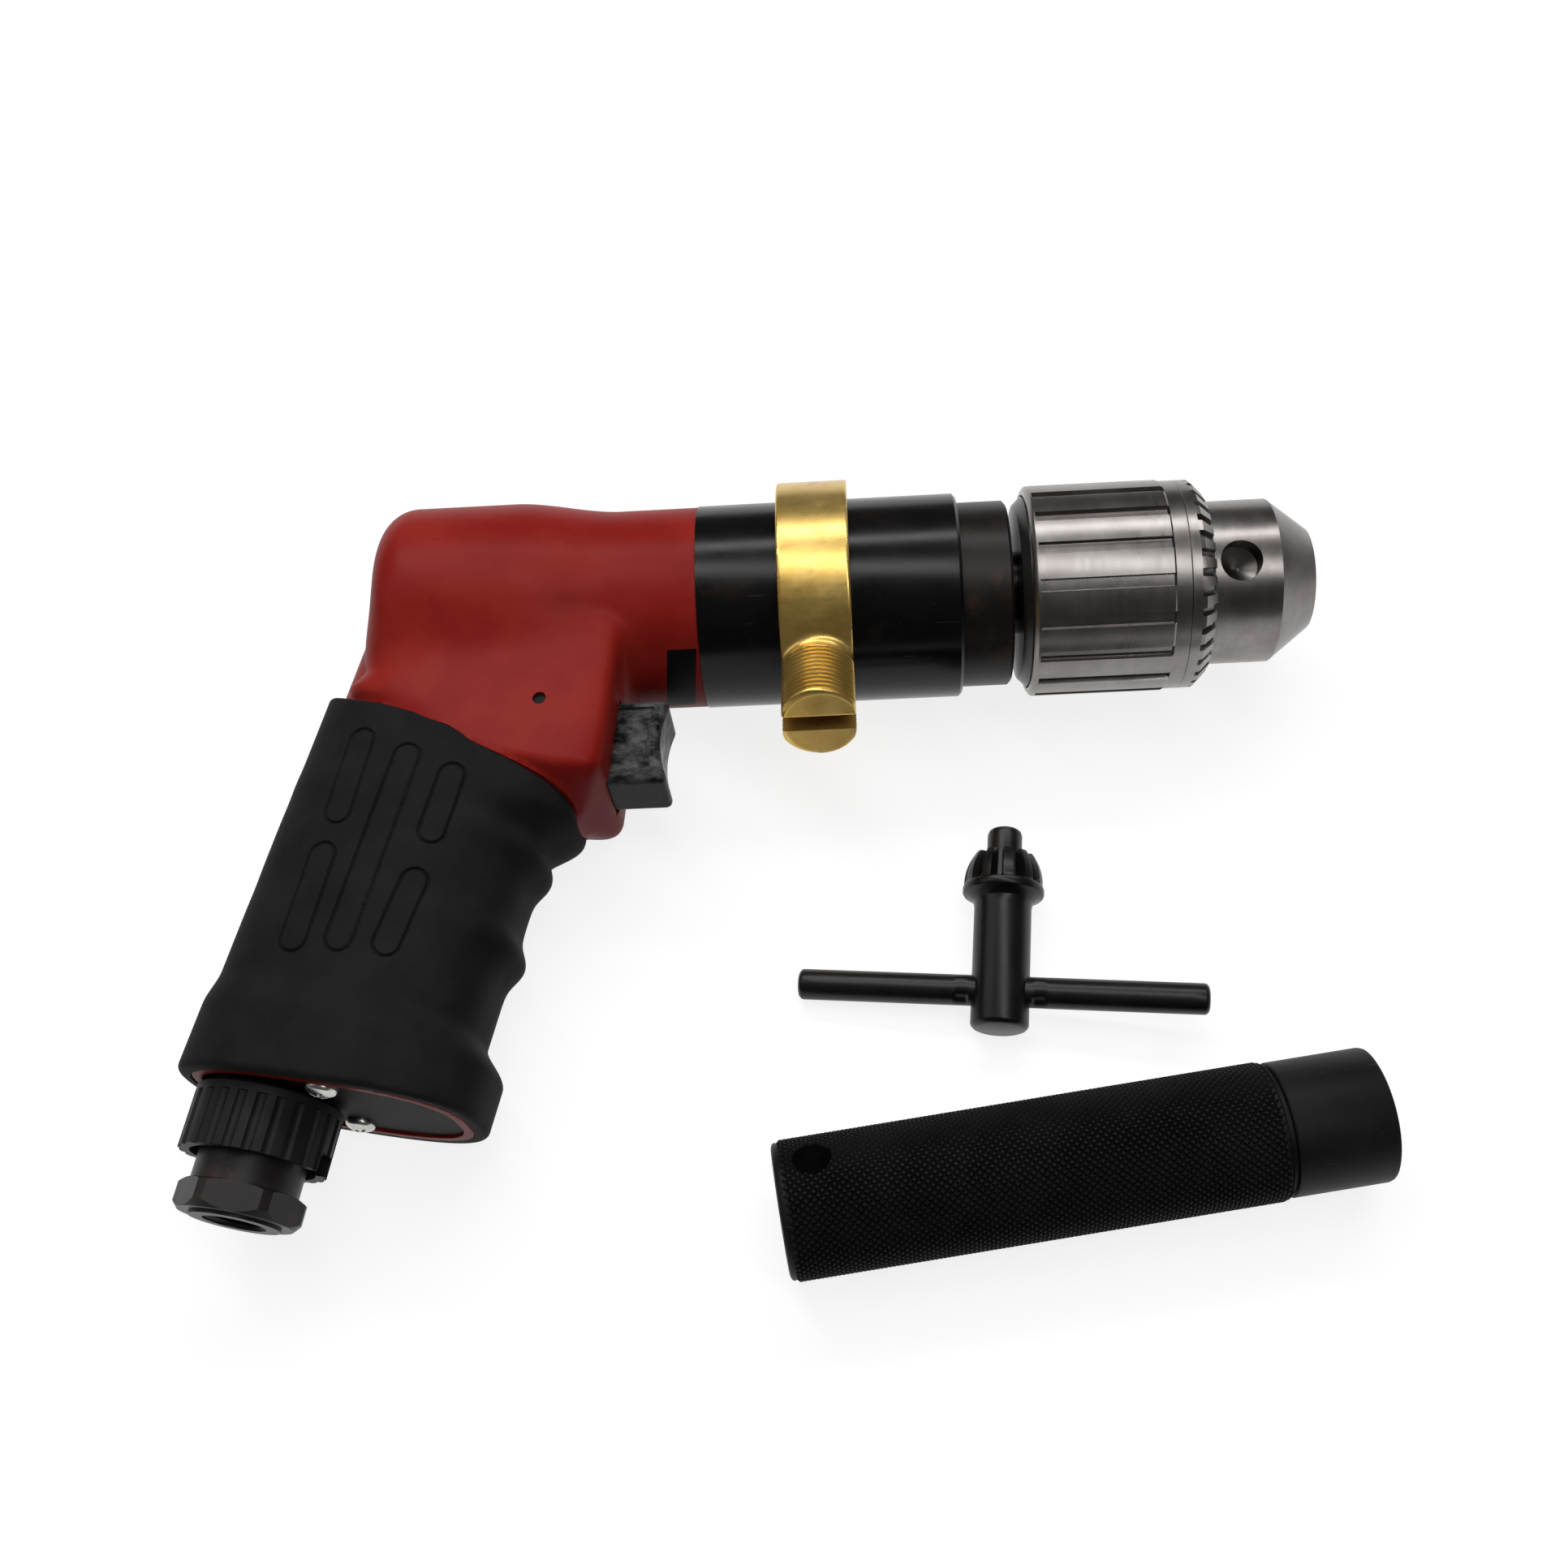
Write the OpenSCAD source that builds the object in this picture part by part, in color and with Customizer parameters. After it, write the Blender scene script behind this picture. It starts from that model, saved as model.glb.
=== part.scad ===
// Pistol grip air drill with a keyed chuck, lying on its side, its side handle and chuck key beside it.
// Drill frame: X runs along the spindle to the chuck and starts at the joint of housing and gear case,
// Y points up the tool, away from the grip, and Z out of the side that faces up.

/* [Housing] */
// Diameter of the motor housing at its front joint
housing_front_d = 41.2; // [40:0.1:46]
// Diameter of the swollen rear half of the motor housing
housing_rear_d = 46.4; // [44:0.1:54]
// Distance behind the joint where the housing starts to swell
swell_start = 16; // [10:0.5:22]
// Distance behind the joint where the housing is fully swollen
swell_end = 38; // [30:0.5:46]
// Thickness of the housing's rear wall
rear_wall = 6.5; // [4:0.1:10]
// Radius of the rounded rear edge
rear_edge_r = 7.5; // [3:0.1:9]
// Bore for the air motor
motor_bore_d = 36; // [35.5:0.1:37]

/* [Handle] */
// Distance behind the joint where the inlet axis crosses the spindle axis
handle_x = 54; // [51:0.1:57]
// Rake of the handle
handle_tilt = 14; // [10:0.5:18]
// Length along the inlet axis from the spindle axis to the butt
handle_len = 104.3; // [100:0.1:116]
// Depth of the grip from back to front
grip_depth = 50; // [48:0.1:56]
// Distance from the inlet axis to the grip's back
grip_back = 15.2; // [14:0.1:18]
// Thickness of the grip
grip_thick = 37; // [35.5:0.1:42]
// Thickness of the rubber sleeve
rubber_t = 2.5; // [1.5:0.1:3]
// Height of the two ridges between the fingers
finger_ridge = 2.3; // [0:0.1:4]
// Flare of the butt to the front
butt_flare_front = 5; // [0:0.1:7]
// Flare of the butt to the back
butt_flare_back = 1; // [0:0.1:3]
// Flare of the butt to each side
butt_flare_side = 1.5; // [0:0.1:3]
// Slant of the butt, shorter at the front
butt_slant = 3.5; // [0:0.5:6]
// Distance behind the joint of the flat face that the trigger comes out of
block_front = 15.6; // [14:0.1:18]
// Lean of that face, further back at its foot
face_lean = 6; // [0:0.5:9]
// Distance behind the joint of the block's back
block_rear = 68; // [67:0.1:69.5]
// Thickness of the housing block above the grip
block_thick = 35; // [33:0.1:36]

/* [Air motor] */
// Length of the motor cylinder
cylinder_len = 34; // [30:0.5:36]
// Bore of the motor cylinder
cylinder_bore_d = 28; // [27.6:0.1:28.6]
// Offset of the cylinder's bore from the rotor
cylinder_offset = 1.2; // [0.9:0.05:1.2]
// Diameter of the rotor
rotor_d = 25.2; // [23:0.1:25.3]
// Number of vanes
vane_count = 5; // [3:1:6]
// Thickness of a vane
vane_t = 1.5; // [1:0.1:2]
// Depth of a vane
vane_depth = 6; // [4:0.1:6.5]
// Thickness of the rear end plate
rear_plate_t = 7; // [6:0.1:9]
// Thickness of the front end plate
front_plate_t = 9; // [7:0.1:10]
// Bore of the motor's bearings
motor_bearing_bore = 8; // [7:0.1:9]
// Outside diameter of the motor's bearings
motor_bearing_d = 16; // [15:0.1:19]
// Width of the motor's bearings
motor_bearing_w = 5; // [4:0.1:5.5]

/* [Gears] */
// Module of all the gear teeth
gear_module = 0.65; // [0.6:0.01:0.67]
// Width of the first stage's planet gears
stage_1_face = 7.6; // [5:0.1:9]
// Width of the second stage's planet gears
stage_2_face = 9.6; // [7:0.1:11]
// Diameter of the planet pins
planet_pin_d = 3; // [2.4:0.1:3.6]
// Thickness of the first stage's carrier
carrier_t = 3.3; // [2.5:0.1:4.5]
// Thickness of the spindle's flange
flange_t = 4.8; // [3.5:0.1:6]

/* [Gear case] */
// Diameter of the gear case
case_d = 41.7; // [40.5:0.1:46]
// Length of the gear case in front of the joint
case_len = 52.3; // [51:0.1:56]
// Length of the gear case's spigot in the housing
spigot_len = 9; // [7:0.1:11]
// Bore of the gear case
case_bore_d = 32; // [31.6:0.1:33]
// Diameter of the front clamp nut
clamp_nut_d = 37.8; // [35:0.1:40]
// Length of the front clamp nut
clamp_nut_len = 10.1; // [8:0.1:13]
// Width of the spindle's bearings
spindle_bearing_w = 9; // [8:0.1:9.5]
// Diameter of the spindle in its bearings
spindle_d = 15; // [14:0.1:16]
// Diameter of the spacer that shows behind the chuck
spacer_d = 16.8; // [16.4:0.1:19]

/* [Chuck] */
// Visible gap between the clamp nut and the chuck
chuck_gap = 1.8; // [1:0.1:4]
// Diameter of the sleeve
sleeve_d = 43; // [42:0.1:46]
// Length of the sleeve, teeth included
sleeve_len = 35.7; // [32:0.1:38]
// Length of the sleeve's toothed front edge
sleeve_teeth_len = 5.7; // [4:0.1:7]
// Number of teeth on the sleeve
sleeve_teeth = 34; // [24:1:40]
// Number of grooves along the sleeve
sleeve_grooves = 18; // [12:1:24]
// Diameter of the chuck's nose
nose_d = 33.2; // [32.6:0.1:36]
// Length of the nose in front of the sleeve
nose_len = 21.2; // [20:0.1:26]
// Length of the nose's cone
nose_cone_len = 8; // [5:0.1:10]
// Diameter of the nose's front face
nose_front_d = 20.7; // [20:0.1:24]
// Largest shank that the chuck takes
shank_max_d = 13; // [12:0.1:13.4]
// Smallest shank that the chuck takes
shank_min_d = 2; // [1:0.1:4]
// Angle of the jaws to the spindle
jaw_angle = 14; // [13:0.1:15]
// Diameter of a jaw
jaw_d = 7; // [6:0.1:7.2]
// Diameter of the spindle's thread in the chuck
chuck_thread_d = 9.5; // [8:0.1:10]
// Diameter of the pilot holes for the key
pilot_hole_d = 8.2; // [6:0.1:8.6]

/* [Trigger and throttle] */
// Distance of the trigger's axis below the spindle axis
trigger_drop = 34.2; // [33.5:0.1:36]
// Height of the trigger
trigger_h = 17.9; // [16.5:0.1:20]
// Thickness of the trigger
trigger_t = 14; // [11:0.1:16]
// Distance that the trigger stands out of the housing
trigger_reach = 10.6; // [8:0.1:12]
// Depth of the trigger's finger hollow
trigger_hollow = 2.2; // [0.5:0.1:3]
// Travel of the trigger
trigger_travel = 5; // [3:0.1:6]
// Bore for the throttle valve
valve_bore_d = 15; // [14:0.1:15.4]
// Diameter of the trigger's shank
trigger_shank_d = 9; // [8:0.1:10]
// Diameter of the trigger's retaining pin
trigger_pin_d = 2.5; // [2:0.1:2.8]

/* [Air inlet and exhaust] */
// Size of the inlet's hexagon across its flats
inlet_hex = 20.6; // [19.6:0.1:22]
// Height of the inlet's hexagon
inlet_hex_h = 5.2; // [4:0.1:8]
// Diameter of the inlet's round neck
inlet_neck_d = 19.3; // [18.4:0.1:20]
// Length of the neck that shows under the deflector
inlet_neck_h = 4.4; // [2:0.1:6]
// Bore of the inlet's thread
inlet_bore_d = 11.4; // [10:0.1:12]
// Outside diameter of the exhaust deflector
deflector_d = 26.6; // [25.6:0.1:28.4]
// Height of the exhaust deflector
deflector_h = 12.6; // [9:0.1:15]
// Number of flutes around the deflector
deflector_flutes = 24; // [12:1:30]
// Thickness of the base plate
base_plate_t = 2; // [1.5:0.1:3]
// Width of the housing's rim around the base plate
base_rim = 1.8; // [1.2:0.1:2.2]
// Diameter of the base screws' heads
screw_head_d = 5.8; // [5:0.1:6]

/* [Side handle] */
// Outside diameter of the handle ring
ring_d = 49.4; // [47:0.1:54]
// Width of the handle ring
ring_w = 14.2; // [11:0.1:16]
// Distance of the ring's back from the joint
ring_x = 16.2; // [4:0.1:30]
// Diameter of the ring's threaded stud
stud_d = 16; // [14.4:0.1:16]
// Distance of the stud's end from the spindle axis
stud_reach = 39.5; // [34:0.1:46]
// Width of the split through the stud
stud_split = 3.4; // [2:0.1:4]
// Angle of the stud, from straight down the tool towards its upper side
stud_angle = 22; // [-40:1:80]
// Diameter of the side handle
side_handle_d = 24.8; // [22:0.1:28]
// Length of the side handle
side_handle_len = 108; // [90:0.5:130]
// Length of the handle's plain collar
side_collar_len = 18; // [12:0.5:25]
// Diameter of the handle's cross hole
cross_hole_d = 7; // [5:0.1:9]

/* [Chuck key] */
// Diameter of the key's bar
key_bar_d = 6; // [5:0.1:7]
// Length of the key's bar
key_bar_len = 78.5; // [60:0.5:82]
// Diameter of the key's shank
key_shank_d = 11.2; // [10:0.1:12]
// Diameter over the key's teeth
key_gear_d = 16; // [14:0.1:18]
// Number of teeth on the key
key_teeth = 11; // [8:1:14]
// Diameter of the key's pilot
key_pilot_d = 6.9; // [5:0.1:8]
// Distance from the bar to the tip of the pilot
key_len = 33.6; // [31:0.1:42]

/* [Layout on the table] */
// Place of the side handle's blind end along the spindle
side_handle_x = 13; // [5:0.5:25]
// Place of the side handle's blind end below the spindle
side_handle_y = -123; // [-140:0.5:-120]
// Turn of the side handle on the table
side_handle_turn = 7.5; // [0:0.5:12]
// Place of the key's bar along the spindle
key_x = 55.8; // [50:0.1:65]
// Place of the key's bar below the spindle
key_y = -80.4; // [-84:0.1:-78]
// Turn of the key on the table
key_turn = -6; // [-9:0.2:4]
// Roll of the key, one end of its bar near the table
key_roll = -4.4; // [-4.4:0.1:4.4]

/* [Hidden] */
$fn = 96;

// Fits: slip is for pieces that never turn on each other, running for shafts, clear for moving faces
slip = 0.03;
running = 0.05;
clear = 0.3;
overrun = 1;
edge = 0.6;
curve_steps = 8;

// Colours
red = [0.55, 0.16, 0.13];
black_rubber = [0.12, 0.12, 0.13];
black_steel = [0.13, 0.12, 0.12];
steel = [0.66, 0.66, 0.64];
dark_steel = [0.4, 0.4, 0.4];
brass = [0.78, 0.6, 0.26];
zinc = [0.75, 0.75, 0.72];
fibre = [0.32, 0.2, 0.12];

// Places along the spindle, behind the joint
front_plate_x = -spigot_len - front_plate_t;
cylinder_x = front_plate_x - cylinder_len;
rear_plate_x = cylinder_x - rear_plate_t;
rear_x = rear_plate_x - rear_wall;
rotor_play = 0.1;
rear_bearing_x = rear_plate_x;
front_bearing_x = -spigot_len - motor_bearing_w;
shaft_r = motor_bearing_bore / 2;
shaft_clear_r = shaft_r + clear;
case_r = case_d / 2;
ring_r = ring_d / 2;

// Gear sizes: both stages have the same teeth, and one long ring gear serves both
sun_teeth = 12;
planet_teeth = 15;
ring_teeth = sun_teeth + 2 * planet_teeth;
planet_count = 3;
pressure_angle = 25;
addendum_share = 0.9;
dedendum_share = 1.25;
backlash = 0.16;
flank_steps = 3;
planet_orbit_r = gear_module * (sun_teeth + planet_teeth) / 2;
gear_gap = 0.6;
carrier_r = planet_orbit_r + planet_pin_d + edge;
pinion_bore_r = 1.9;

// Places along the spindle, in front of the joint
ring_gear_x = gear_gap;
planet_1_x = ring_gear_x + gear_gap;
carrier_x = planet_1_x + stage_1_face + gear_gap;
planet_2_x = carrier_x + carrier_t + gear_gap;
flange_x = planet_2_x + stage_2_face + gear_gap;
ring_gear_end = planet_2_x + stage_2_face;
flange_end = flange_x + flange_t;
rear_spindle_x = flange_end + edge;
nut_spigot_len = 2.8;
front_spindle_x = case_len - nut_spigot_len - spindle_bearing_w;
nut_end = case_len + clamp_nut_len;
chuck_x = nut_end + chuck_gap;
seal_w = 5;
seal_t = 3.6;
seal_r = spacer_d / 2 + seal_t;

// Chuck places
sleeve_setback = 1.8;
sleeve_x = chuck_x + sleeve_setback;
sleeve_end = sleeve_x + sleeve_len;
nose_x = sleeve_end + nose_len;
nose_r = nose_d / 2;
sleeve_wall = 1.7;
sleeve_bore_r = sleeve_d / 2 - sleeve_wall;
chuck_rear_r = sleeve_bore_r - clear;
chuck_nut_w = 5;
chuck_nut_x = sleeve_end - sleeve_teeth_len - chuck_nut_w - edge;
nut_groove_depth = 1.4;
nut_groove_r = nose_r - nut_groove_depth;
mouth_r = shank_max_d / 2;
mouth_depth = 34.6;
jaw_bore_lead = 3.7;
jaw_r = jaw_d / 2;
jaw_bore_r = jaw_r + running;
jaw_relief = 0.1;
jaw_open_r = mouth_r + jaw_relief;
jaw_travel = (shank_max_d - shank_min_d) / 2 / sin(jaw_angle);
jaw_tip_x = nose_x - overrun;
jaw_tip_orbit = 4.4;
jaw_rear_x = chuck_nut_x + chuck_nut_w - overrun - jaw_travel * cos(jaw_angle);
jaw_count = 3;
pilot_angle = 108;
jaw_angle_first = pilot_angle + 180 / jaw_count;
pilot_setback = 5.3;
pilot_x = sleeve_end + pilot_setback;
pilot_depth = 5;
pilot_cone = 2;
chuck_thread_len = 15;

// Handle shape: v runs down the inlet axis from the spindle axis, t goes round the section
sections = 36;
core_rings = 20;
block_rings = 7;
block_top_v = 6;
ridge_shares = [0.488, 0.664];
ridge_w = 3.4;
flare_len = 18.5;
flare_v = handle_len - flare_len;
flare_run = 7;
sweep = 6.5;
sweep_v = 48.5;
sweep_run = 7;
face_y = 20;
block_proud = 0.5;
block_flare = 3.9;
block_flare_v = 21;
block_flare_run = 6.5;
lip_v = 32;
lip_run = 10;
block_power = 4;
block_front_power = 8;
block_round_from = 0.75;
grip_power = 2.8;
rubber_gap = 0.3;
// Height of the rubber's top edge at the sides, and its shares of that height from back to front
rubber_top_v = 33;
rubber_top_shares = [
  [-1, 0.8], [-0.69, 0.87], [-0.15, 0.925], [0, 0.965], [0.16, 1.045], [0.53, 1.12], [0.83, 1.17],
  [0.97, 1.21], [1, 1.26]
];

// Throttle places, backwards from the face that the trigger comes out of
trigger_root = 3.4;
trigger_bevel = 2;
trigger_back_x = -block_front - trigger_root;
pocket_end_x = trigger_back_x - trigger_travel - clear;
bushing_len = 23;
bushing_neck_len = 8;
bushing_x = pocket_end_x - bushing_len;
bushing_neck_x = bushing_x + bushing_neck_len;
stem_d = 3.6;
stem_port_d = 5.4;
valve_seal_t = 0.8;
valve_head_t = 4;
valve_air_gap = 1.9;
valve_head_r = valve_bore_d / 2 - valve_air_gap;
valve_head_x = bushing_x - valve_seal_t - valve_head_t;
spring_wire_d = 1;
spring_r = valve_head_r - spring_wire_d;
spring_curls = 5;
spring_len = 13;
valve_bore_x = valve_head_x - spring_len;
trigger_pin_x = -30.1;
trigger_pin_bite = 0.1;
trigger_pin_y = -trigger_drop + trigger_shank_d / 2 - trigger_pin_bite;
trigger_pin_recess = 0.8;
port_d = 7;
port_x = (bushing_x + bushing_neck_x) / 2;

// Inlet and exhaust places, down the inlet axis
base_recess = 0.6;
recess_v = handle_len - base_plate_t - base_recess;
deflector_gap = 0.2;
deflector_v = handle_len + deflector_gap;
neck_v = deflector_v + deflector_h;
hex_v = neck_v + inlet_neck_h;
boss_v = hex_v + inlet_hex_h;
boss_h = 0.6;
hex_turn = -13.5;
hex_corner_cut = 0.5;
boss_r = 8.2;
inlet_thread_r = 8;
inlet_thread_len = 15;
ledge_step = 0.8;
inlet_thread_v = recess_v - inlet_thread_len;
inlet_bore_len = 24.5;
bore_floor_v = boss_v + boss_h - inlet_bore_len;
passage_d = 11;
screen_t = 0.8;
screen_step = 0.5;
screen_seat_r = inlet_bore_d / 2 - screen_step;
seal_ring_r = 1.1;
inlet_seal_v = inlet_thread_v - 2 * seal_ring_r;
exhaust_d = 6.4;
exhaust_u = 19;
exhaust_w = 11.6;
screw_u = 13.2;
screw_w = 11.9;
screw_d = 3;
screw_len = 10;
screw_head_h = 2;
deflector_wall = 2;
deflector_top = 2;
flute_r = 1.1;
notch_w = 5;
notch_h = 4;

// How the tool lies: the ring and the middle of the butt's side touch the table
butt_half = grip_thick / 2 + butt_flare_side;
butt_back = grip_back + butt_flare_back;
butt_middle_u = (grip_depth - grip_back + butt_flare_front - butt_back) / 2;
butt_middle_v = handle_len - butt_middle_u * tan(butt_slant);
lie_arm = butt_middle_v * cos(handle_tilt) + butt_middle_u * sin(handle_tilt);
lie_roll = asin((ring_r - butt_half) / lie_arm);

// Origin under the middle of everything on the table
butt_back_v = handle_len + butt_back * tan(butt_slant);
left_end = -handle_x - butt_back * cos(handle_tilt) - butt_back_v * sin(handle_tilt);
right_end = max(nose_x, side_handle_x + side_handle_len * cos(side_handle_turn));
near_end = side_handle_y - side_handle_d / 2 * cos(side_handle_turn) + edge * sin(side_handle_turn);
origin_x = (left_end + right_end) / 2;
origin_y = (near_end + ring_r) / 2;

// Helpers
module on_table() {
  translate([-origin_x, -origin_y, 0]) children();
}

module in_drill() {
  on_table() translate([0, 0, ring_r]) rotate([lie_roll, 0, 0]) children();
}

module in_handle() {
  translate([-handle_x, 0, 0]) rotate([90, 0, -handle_tilt]) children();
}

// Inlet axis: square to the slanted butt
module in_inlet() {
  in_handle() translate([0, 0, handle_len]) rotate([0, butt_slant, 0]) translate([0, 0, -handle_len])
    children();
}

module revolve(points) {
  rotate([0, 90, 0]) rotate_extrude() polygon([for (p = points) [p[1], p[0]]]);
}

module tube(start, end, outer, inner) {
  revolve([[start, inner], [start, outer], [end, outer], [end, inner]]);
}

module rod(start, end, radius) {
  translate([start, 0, 0]) rotate([0, 90, 0]) cylinder(h = end - start, r = radius);
}

// A shaft with its two outer edges broken
module edged_rod(start, end, radius, bevel) {
  revolve([[start, 0], [start, radius - bevel], [start + bevel, radius],
    [end - bevel, radius], [end, radius - bevel], [end, 0]]);
}

module about_spindle(angle) {
  rotate([angle, 0, 0]) children();
}

// Ball bearing: races take this share of its section each, balls this share
race_share = 0.3;
ball_share = 0.27;
ball_count = 8;

function race_t(bore, outer) = (outer - bore) / 2 * race_share;

module ball_groove(x, width, bore, outer) {
  ball_r = (outer - bore) / 2 * ball_share;
  rotate([0, 90, 0]) rotate_extrude() translate([(bore + outer) / 4, x + width / 2])
    circle(r = ball_r + running, $fn = 32);
}

module outer_race(x, width, bore, outer) {
  difference() {
    tube(x, x + width, outer / 2 - slip, outer / 2 - race_t(bore, outer));
    ball_groove(x, width, bore, outer);
  }
  for (k = [0:ball_count - 1])
    about_spindle(k * 360 / ball_count)
      translate([x + width / 2, (bore + outer) / 4, 0])
        sphere(r = (outer - bore) / 2 * ball_share, $fn = 32);
}

module inner_race(x, width, bore, outer) {
  difference() {
    tube(x, x + width, bore / 2 + race_t(bore, outer), bore / 2 + slip);
    ball_groove(x, width, bore, outer);
  }
}

// Involute gear outline with a tooth on the first axis
function involute(angle) = (tan(angle) - angle * PI / 180) * 180 / PI;

function flank_angle(radius, base_r, half) = half - involute(acos(min(1, base_r / radius)));

function gear_outline(teeth, root_r, tip_r, extra) =
  let (pitch_r = gear_module * teeth / 2)
  let (base_r = pitch_r * cos(pressure_angle))
  let (half = 90 / teeth + extra / 2 / pitch_r * 180 / PI + involute(pressure_angle))
  let (low_r = max(root_r, base_r))
  let (rise = [for (i = [0:flank_steps]) low_r + (tip_r - low_r) * i / flank_steps])
  let (radii = root_r < base_r ? concat([root_r], rise) : rise)
  let (last = len(radii) - 1)
  [for (k = [0:teeth - 1])
    for (side = [-1, 1])
      for (i = [0:last])
        let (radius = radii[side < 0 ? i : last - i])
        let (angle = 360 * k / teeth + side * flank_angle(radius, base_r, half))
        [radius * cos(angle), radius * sin(angle)]];

function tooth_tip_r(teeth) = gear_module * (teeth / 2 + addendum_share);
function tooth_root_r(teeth) = gear_module * (teeth / 2 - dedendum_share);

// Gear body along the spindle; about_spindle angles and outline angles agree
module gear(x, face, teeth) {
  translate([x, 0, 0]) rotate([90, 0, 90]) linear_extrude(face)
    polygon(gear_outline(teeth, tooth_root_r(teeth), tooth_tip_r(teeth), -backlash / 2));
}

module planet(x, face, index) {
  orbit = 360 / planet_count * index;
  turn = orbit * (1 + sun_teeth / planet_teeth) + 180 - 180 / planet_teeth;
  about_spindle(orbit) translate([0, planet_orbit_r, 0]) about_spindle(turn - orbit)
    difference() {
      gear(x, face, planet_teeth);
      rod(x - overrun, x + face + overrun, planet_pin_d / 2 + running);
    }
}

module planet_pins(start, end) {
  for (k = [0:planet_count - 1])
    about_spindle(360 / planet_count * k) translate([0, planet_orbit_r, 0])
      rod(start, end, planet_pin_d / 2);
}

module planet_pin_holes(start, end) {
  for (k = [0:planet_count - 1])
    about_spindle(360 / planet_count * k) translate([0, planet_orbit_r, 0])
      rod(start, end, planet_pin_d / 2 + slip);
}

// Handle sections
function smooth(s) = let (c = min(1, max(0, s))) c * c * (3 - 2 * c);
function bump(v, at) = exp(-pow((v - at) / ridge_w, 2));
function power(value, exponent) = sign(value) * pow(abs(value), exponent);

function grip_front_u(v) = grip_depth - grip_back
  + finger_ridge * (bump(v, handle_len * ridge_shares[0]) + bump(v, handle_len * ridge_shares[1]))
  + butt_flare_front * smooth((v - flare_v) / flare_run)
  + sweep * smooth((sweep_v - v) / sweep_run);

function grip_back_u(v) = -grip_back - butt_flare_back * smooth((v - flare_v) / flare_run);

function grip_half(v) = grip_thick / 2 + butt_flare_side * smooth((v - flare_v) / flare_run);

function face_u(v) =
  let (k = tan(face_lean))
  (handle_x - block_front + face_y * k + v * (sin(handle_tilt) - k * cos(handle_tilt)))
    / (cos(handle_tilt) + k * sin(handle_tilt));

function block_front_u(v) =
  let (s = smooth((v - lip_v) / lip_run))
  face_u(v) * (1 - s) + (grip_front_u(v) - block_proud) * s;

function block_back_u(v) = (handle_x - block_rear + v * sin(handle_tilt)) / cos(handle_tilt)
  - block_flare * smooth((v - block_flare_v) / block_flare_run);

function section_point(t, v, front, back, half, exponent) = [
  (front + back) / 2 + (front - back) / 2 * power(cos(t), 2 / exponent),
  half * power(sin(t), 2 / exponent),
  v
];

function block_point(t, v, exponent) =
  section_point(t, v, block_front_u(v), block_back_u(v), block_thick / 2, exponent);

function grip_point(t, v, inset) =
  section_point(t, v, grip_front_u(v) - inset, grip_back_u(v) + inset, grip_half(v) - inset, grip_power);

function rubber_edge_v(t) = rubber_top_v * lookup(cos(t), rubber_top_shares);

function between(from, to, step, steps) = from + (to - from) * step / steps;

function turn_at(i) = 360 * i / sections;

function grip_end_v(t, inset) = handle_len - grip_point(t, handle_len, inset)[0] * tan(butt_slant);

function grip_ring(j, inset, gap) = [
  for (i = [0:sections - 1])
    let (t = turn_at(i))
    grip_point(t, between(rubber_edge_v(t) + gap, grip_end_v(t, inset), j, core_rings), inset)
];

// Exponent of the block's corners: square at the top, as round as the grip at the rubber
function block_power_at(t, share) =
  let (top = cos(t) > 0 ? block_front_power : block_power)
  between(top, grip_power, smooth((share - block_round_from) / (1 - block_round_from)), 1);

function block_ring(j) = [
  for (i = [0:sections - 1])
    let (t = turn_at(i))
    block_point(
      t,
      between(block_top_v, rubber_edge_v(t), j, block_rings),
      block_power_at(t, j / block_rings)
    )
];

function strip(first, second) = [
  for (i = [0:sections - 1])
    let (next = (i + 1) % sections)
    for (corner = [[first + i, second + i, second + next], [first + i, second + next, first + next]])
      corner
];

function strips(first_ring, last_ring) = [
  for (j = [first_ring:last_ring - 1])
    for (corner = strip(j * sections, (j + 1) * sections))
      corner
];

function flipped(faces) = [for (face = faces) [face[2], face[1], face[0]]];

function flatten(lists) = [for (list = lists) for (item = list) item];

// Closed solid through rings that all have the same number of points
module loft(rings) {
  last = len(rings) - 1;
  polyhedron(
    points = flatten(rings),
    faces = concat(
      strips(0, last),
      [[for (i = [0:sections - 1]) i]],
      [[for (i = [0:sections - 1]) last * sections + sections - 1 - i]]
    )
  );
}

// Closed sleeve between outer rings and inner rings
module sleeve_loft(outer, inner) {
  rings = len(outer);
  last = len(outer) - 1;
  polyhedron(
    points = flatten(concat(outer, inner)),
    faces = concat(
      strips(0, last),
      flipped(strips(rings, rings + last)),
      strip(last * sections, (rings + last) * sections),
      flipped(strip(0, rings * sections))
    )
  );
}

// Flat outline of the handle's core at the butt, drawn in by an inset
module butt_outline(inset) {
  polygon([
    for (i = [0:sections - 1])
      let (p = grip_point(turn_at(i), handle_len, rubber_t + inset))
      [p[0], p[1]]
  ]);
}

module down_handle(v_start, v_end, radius, u = 0, w = 0) {
  translate([u, w, v_start]) cylinder(h = v_end - v_start, r = radius);
}

module revolve_handle(points) {
  rotate_extrude() polygon([for (p = points) [p[1], p[0]]]);
}

// Housing group
module barrel_solid() {
  front_r = housing_front_d / 2;
  rear_r = housing_rear_d / 2;
  growth = rear_r - front_r;
  swell = [for (i = [0:curve_steps])
    [-between(swell_start, swell_end, i, curve_steps), front_r + growth * smooth(i / curve_steps)]];
  corner = [for (i = [0:curve_steps]) let (a = i * 90 / curve_steps)
    [rear_x + rear_edge_r * (1 - sin(a)), rear_r - rear_edge_r * (1 - cos(a))]];
  revolve(concat([[0, 0], [0, front_r]], swell, corner, [[rear_x, 0]]));
}

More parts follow.
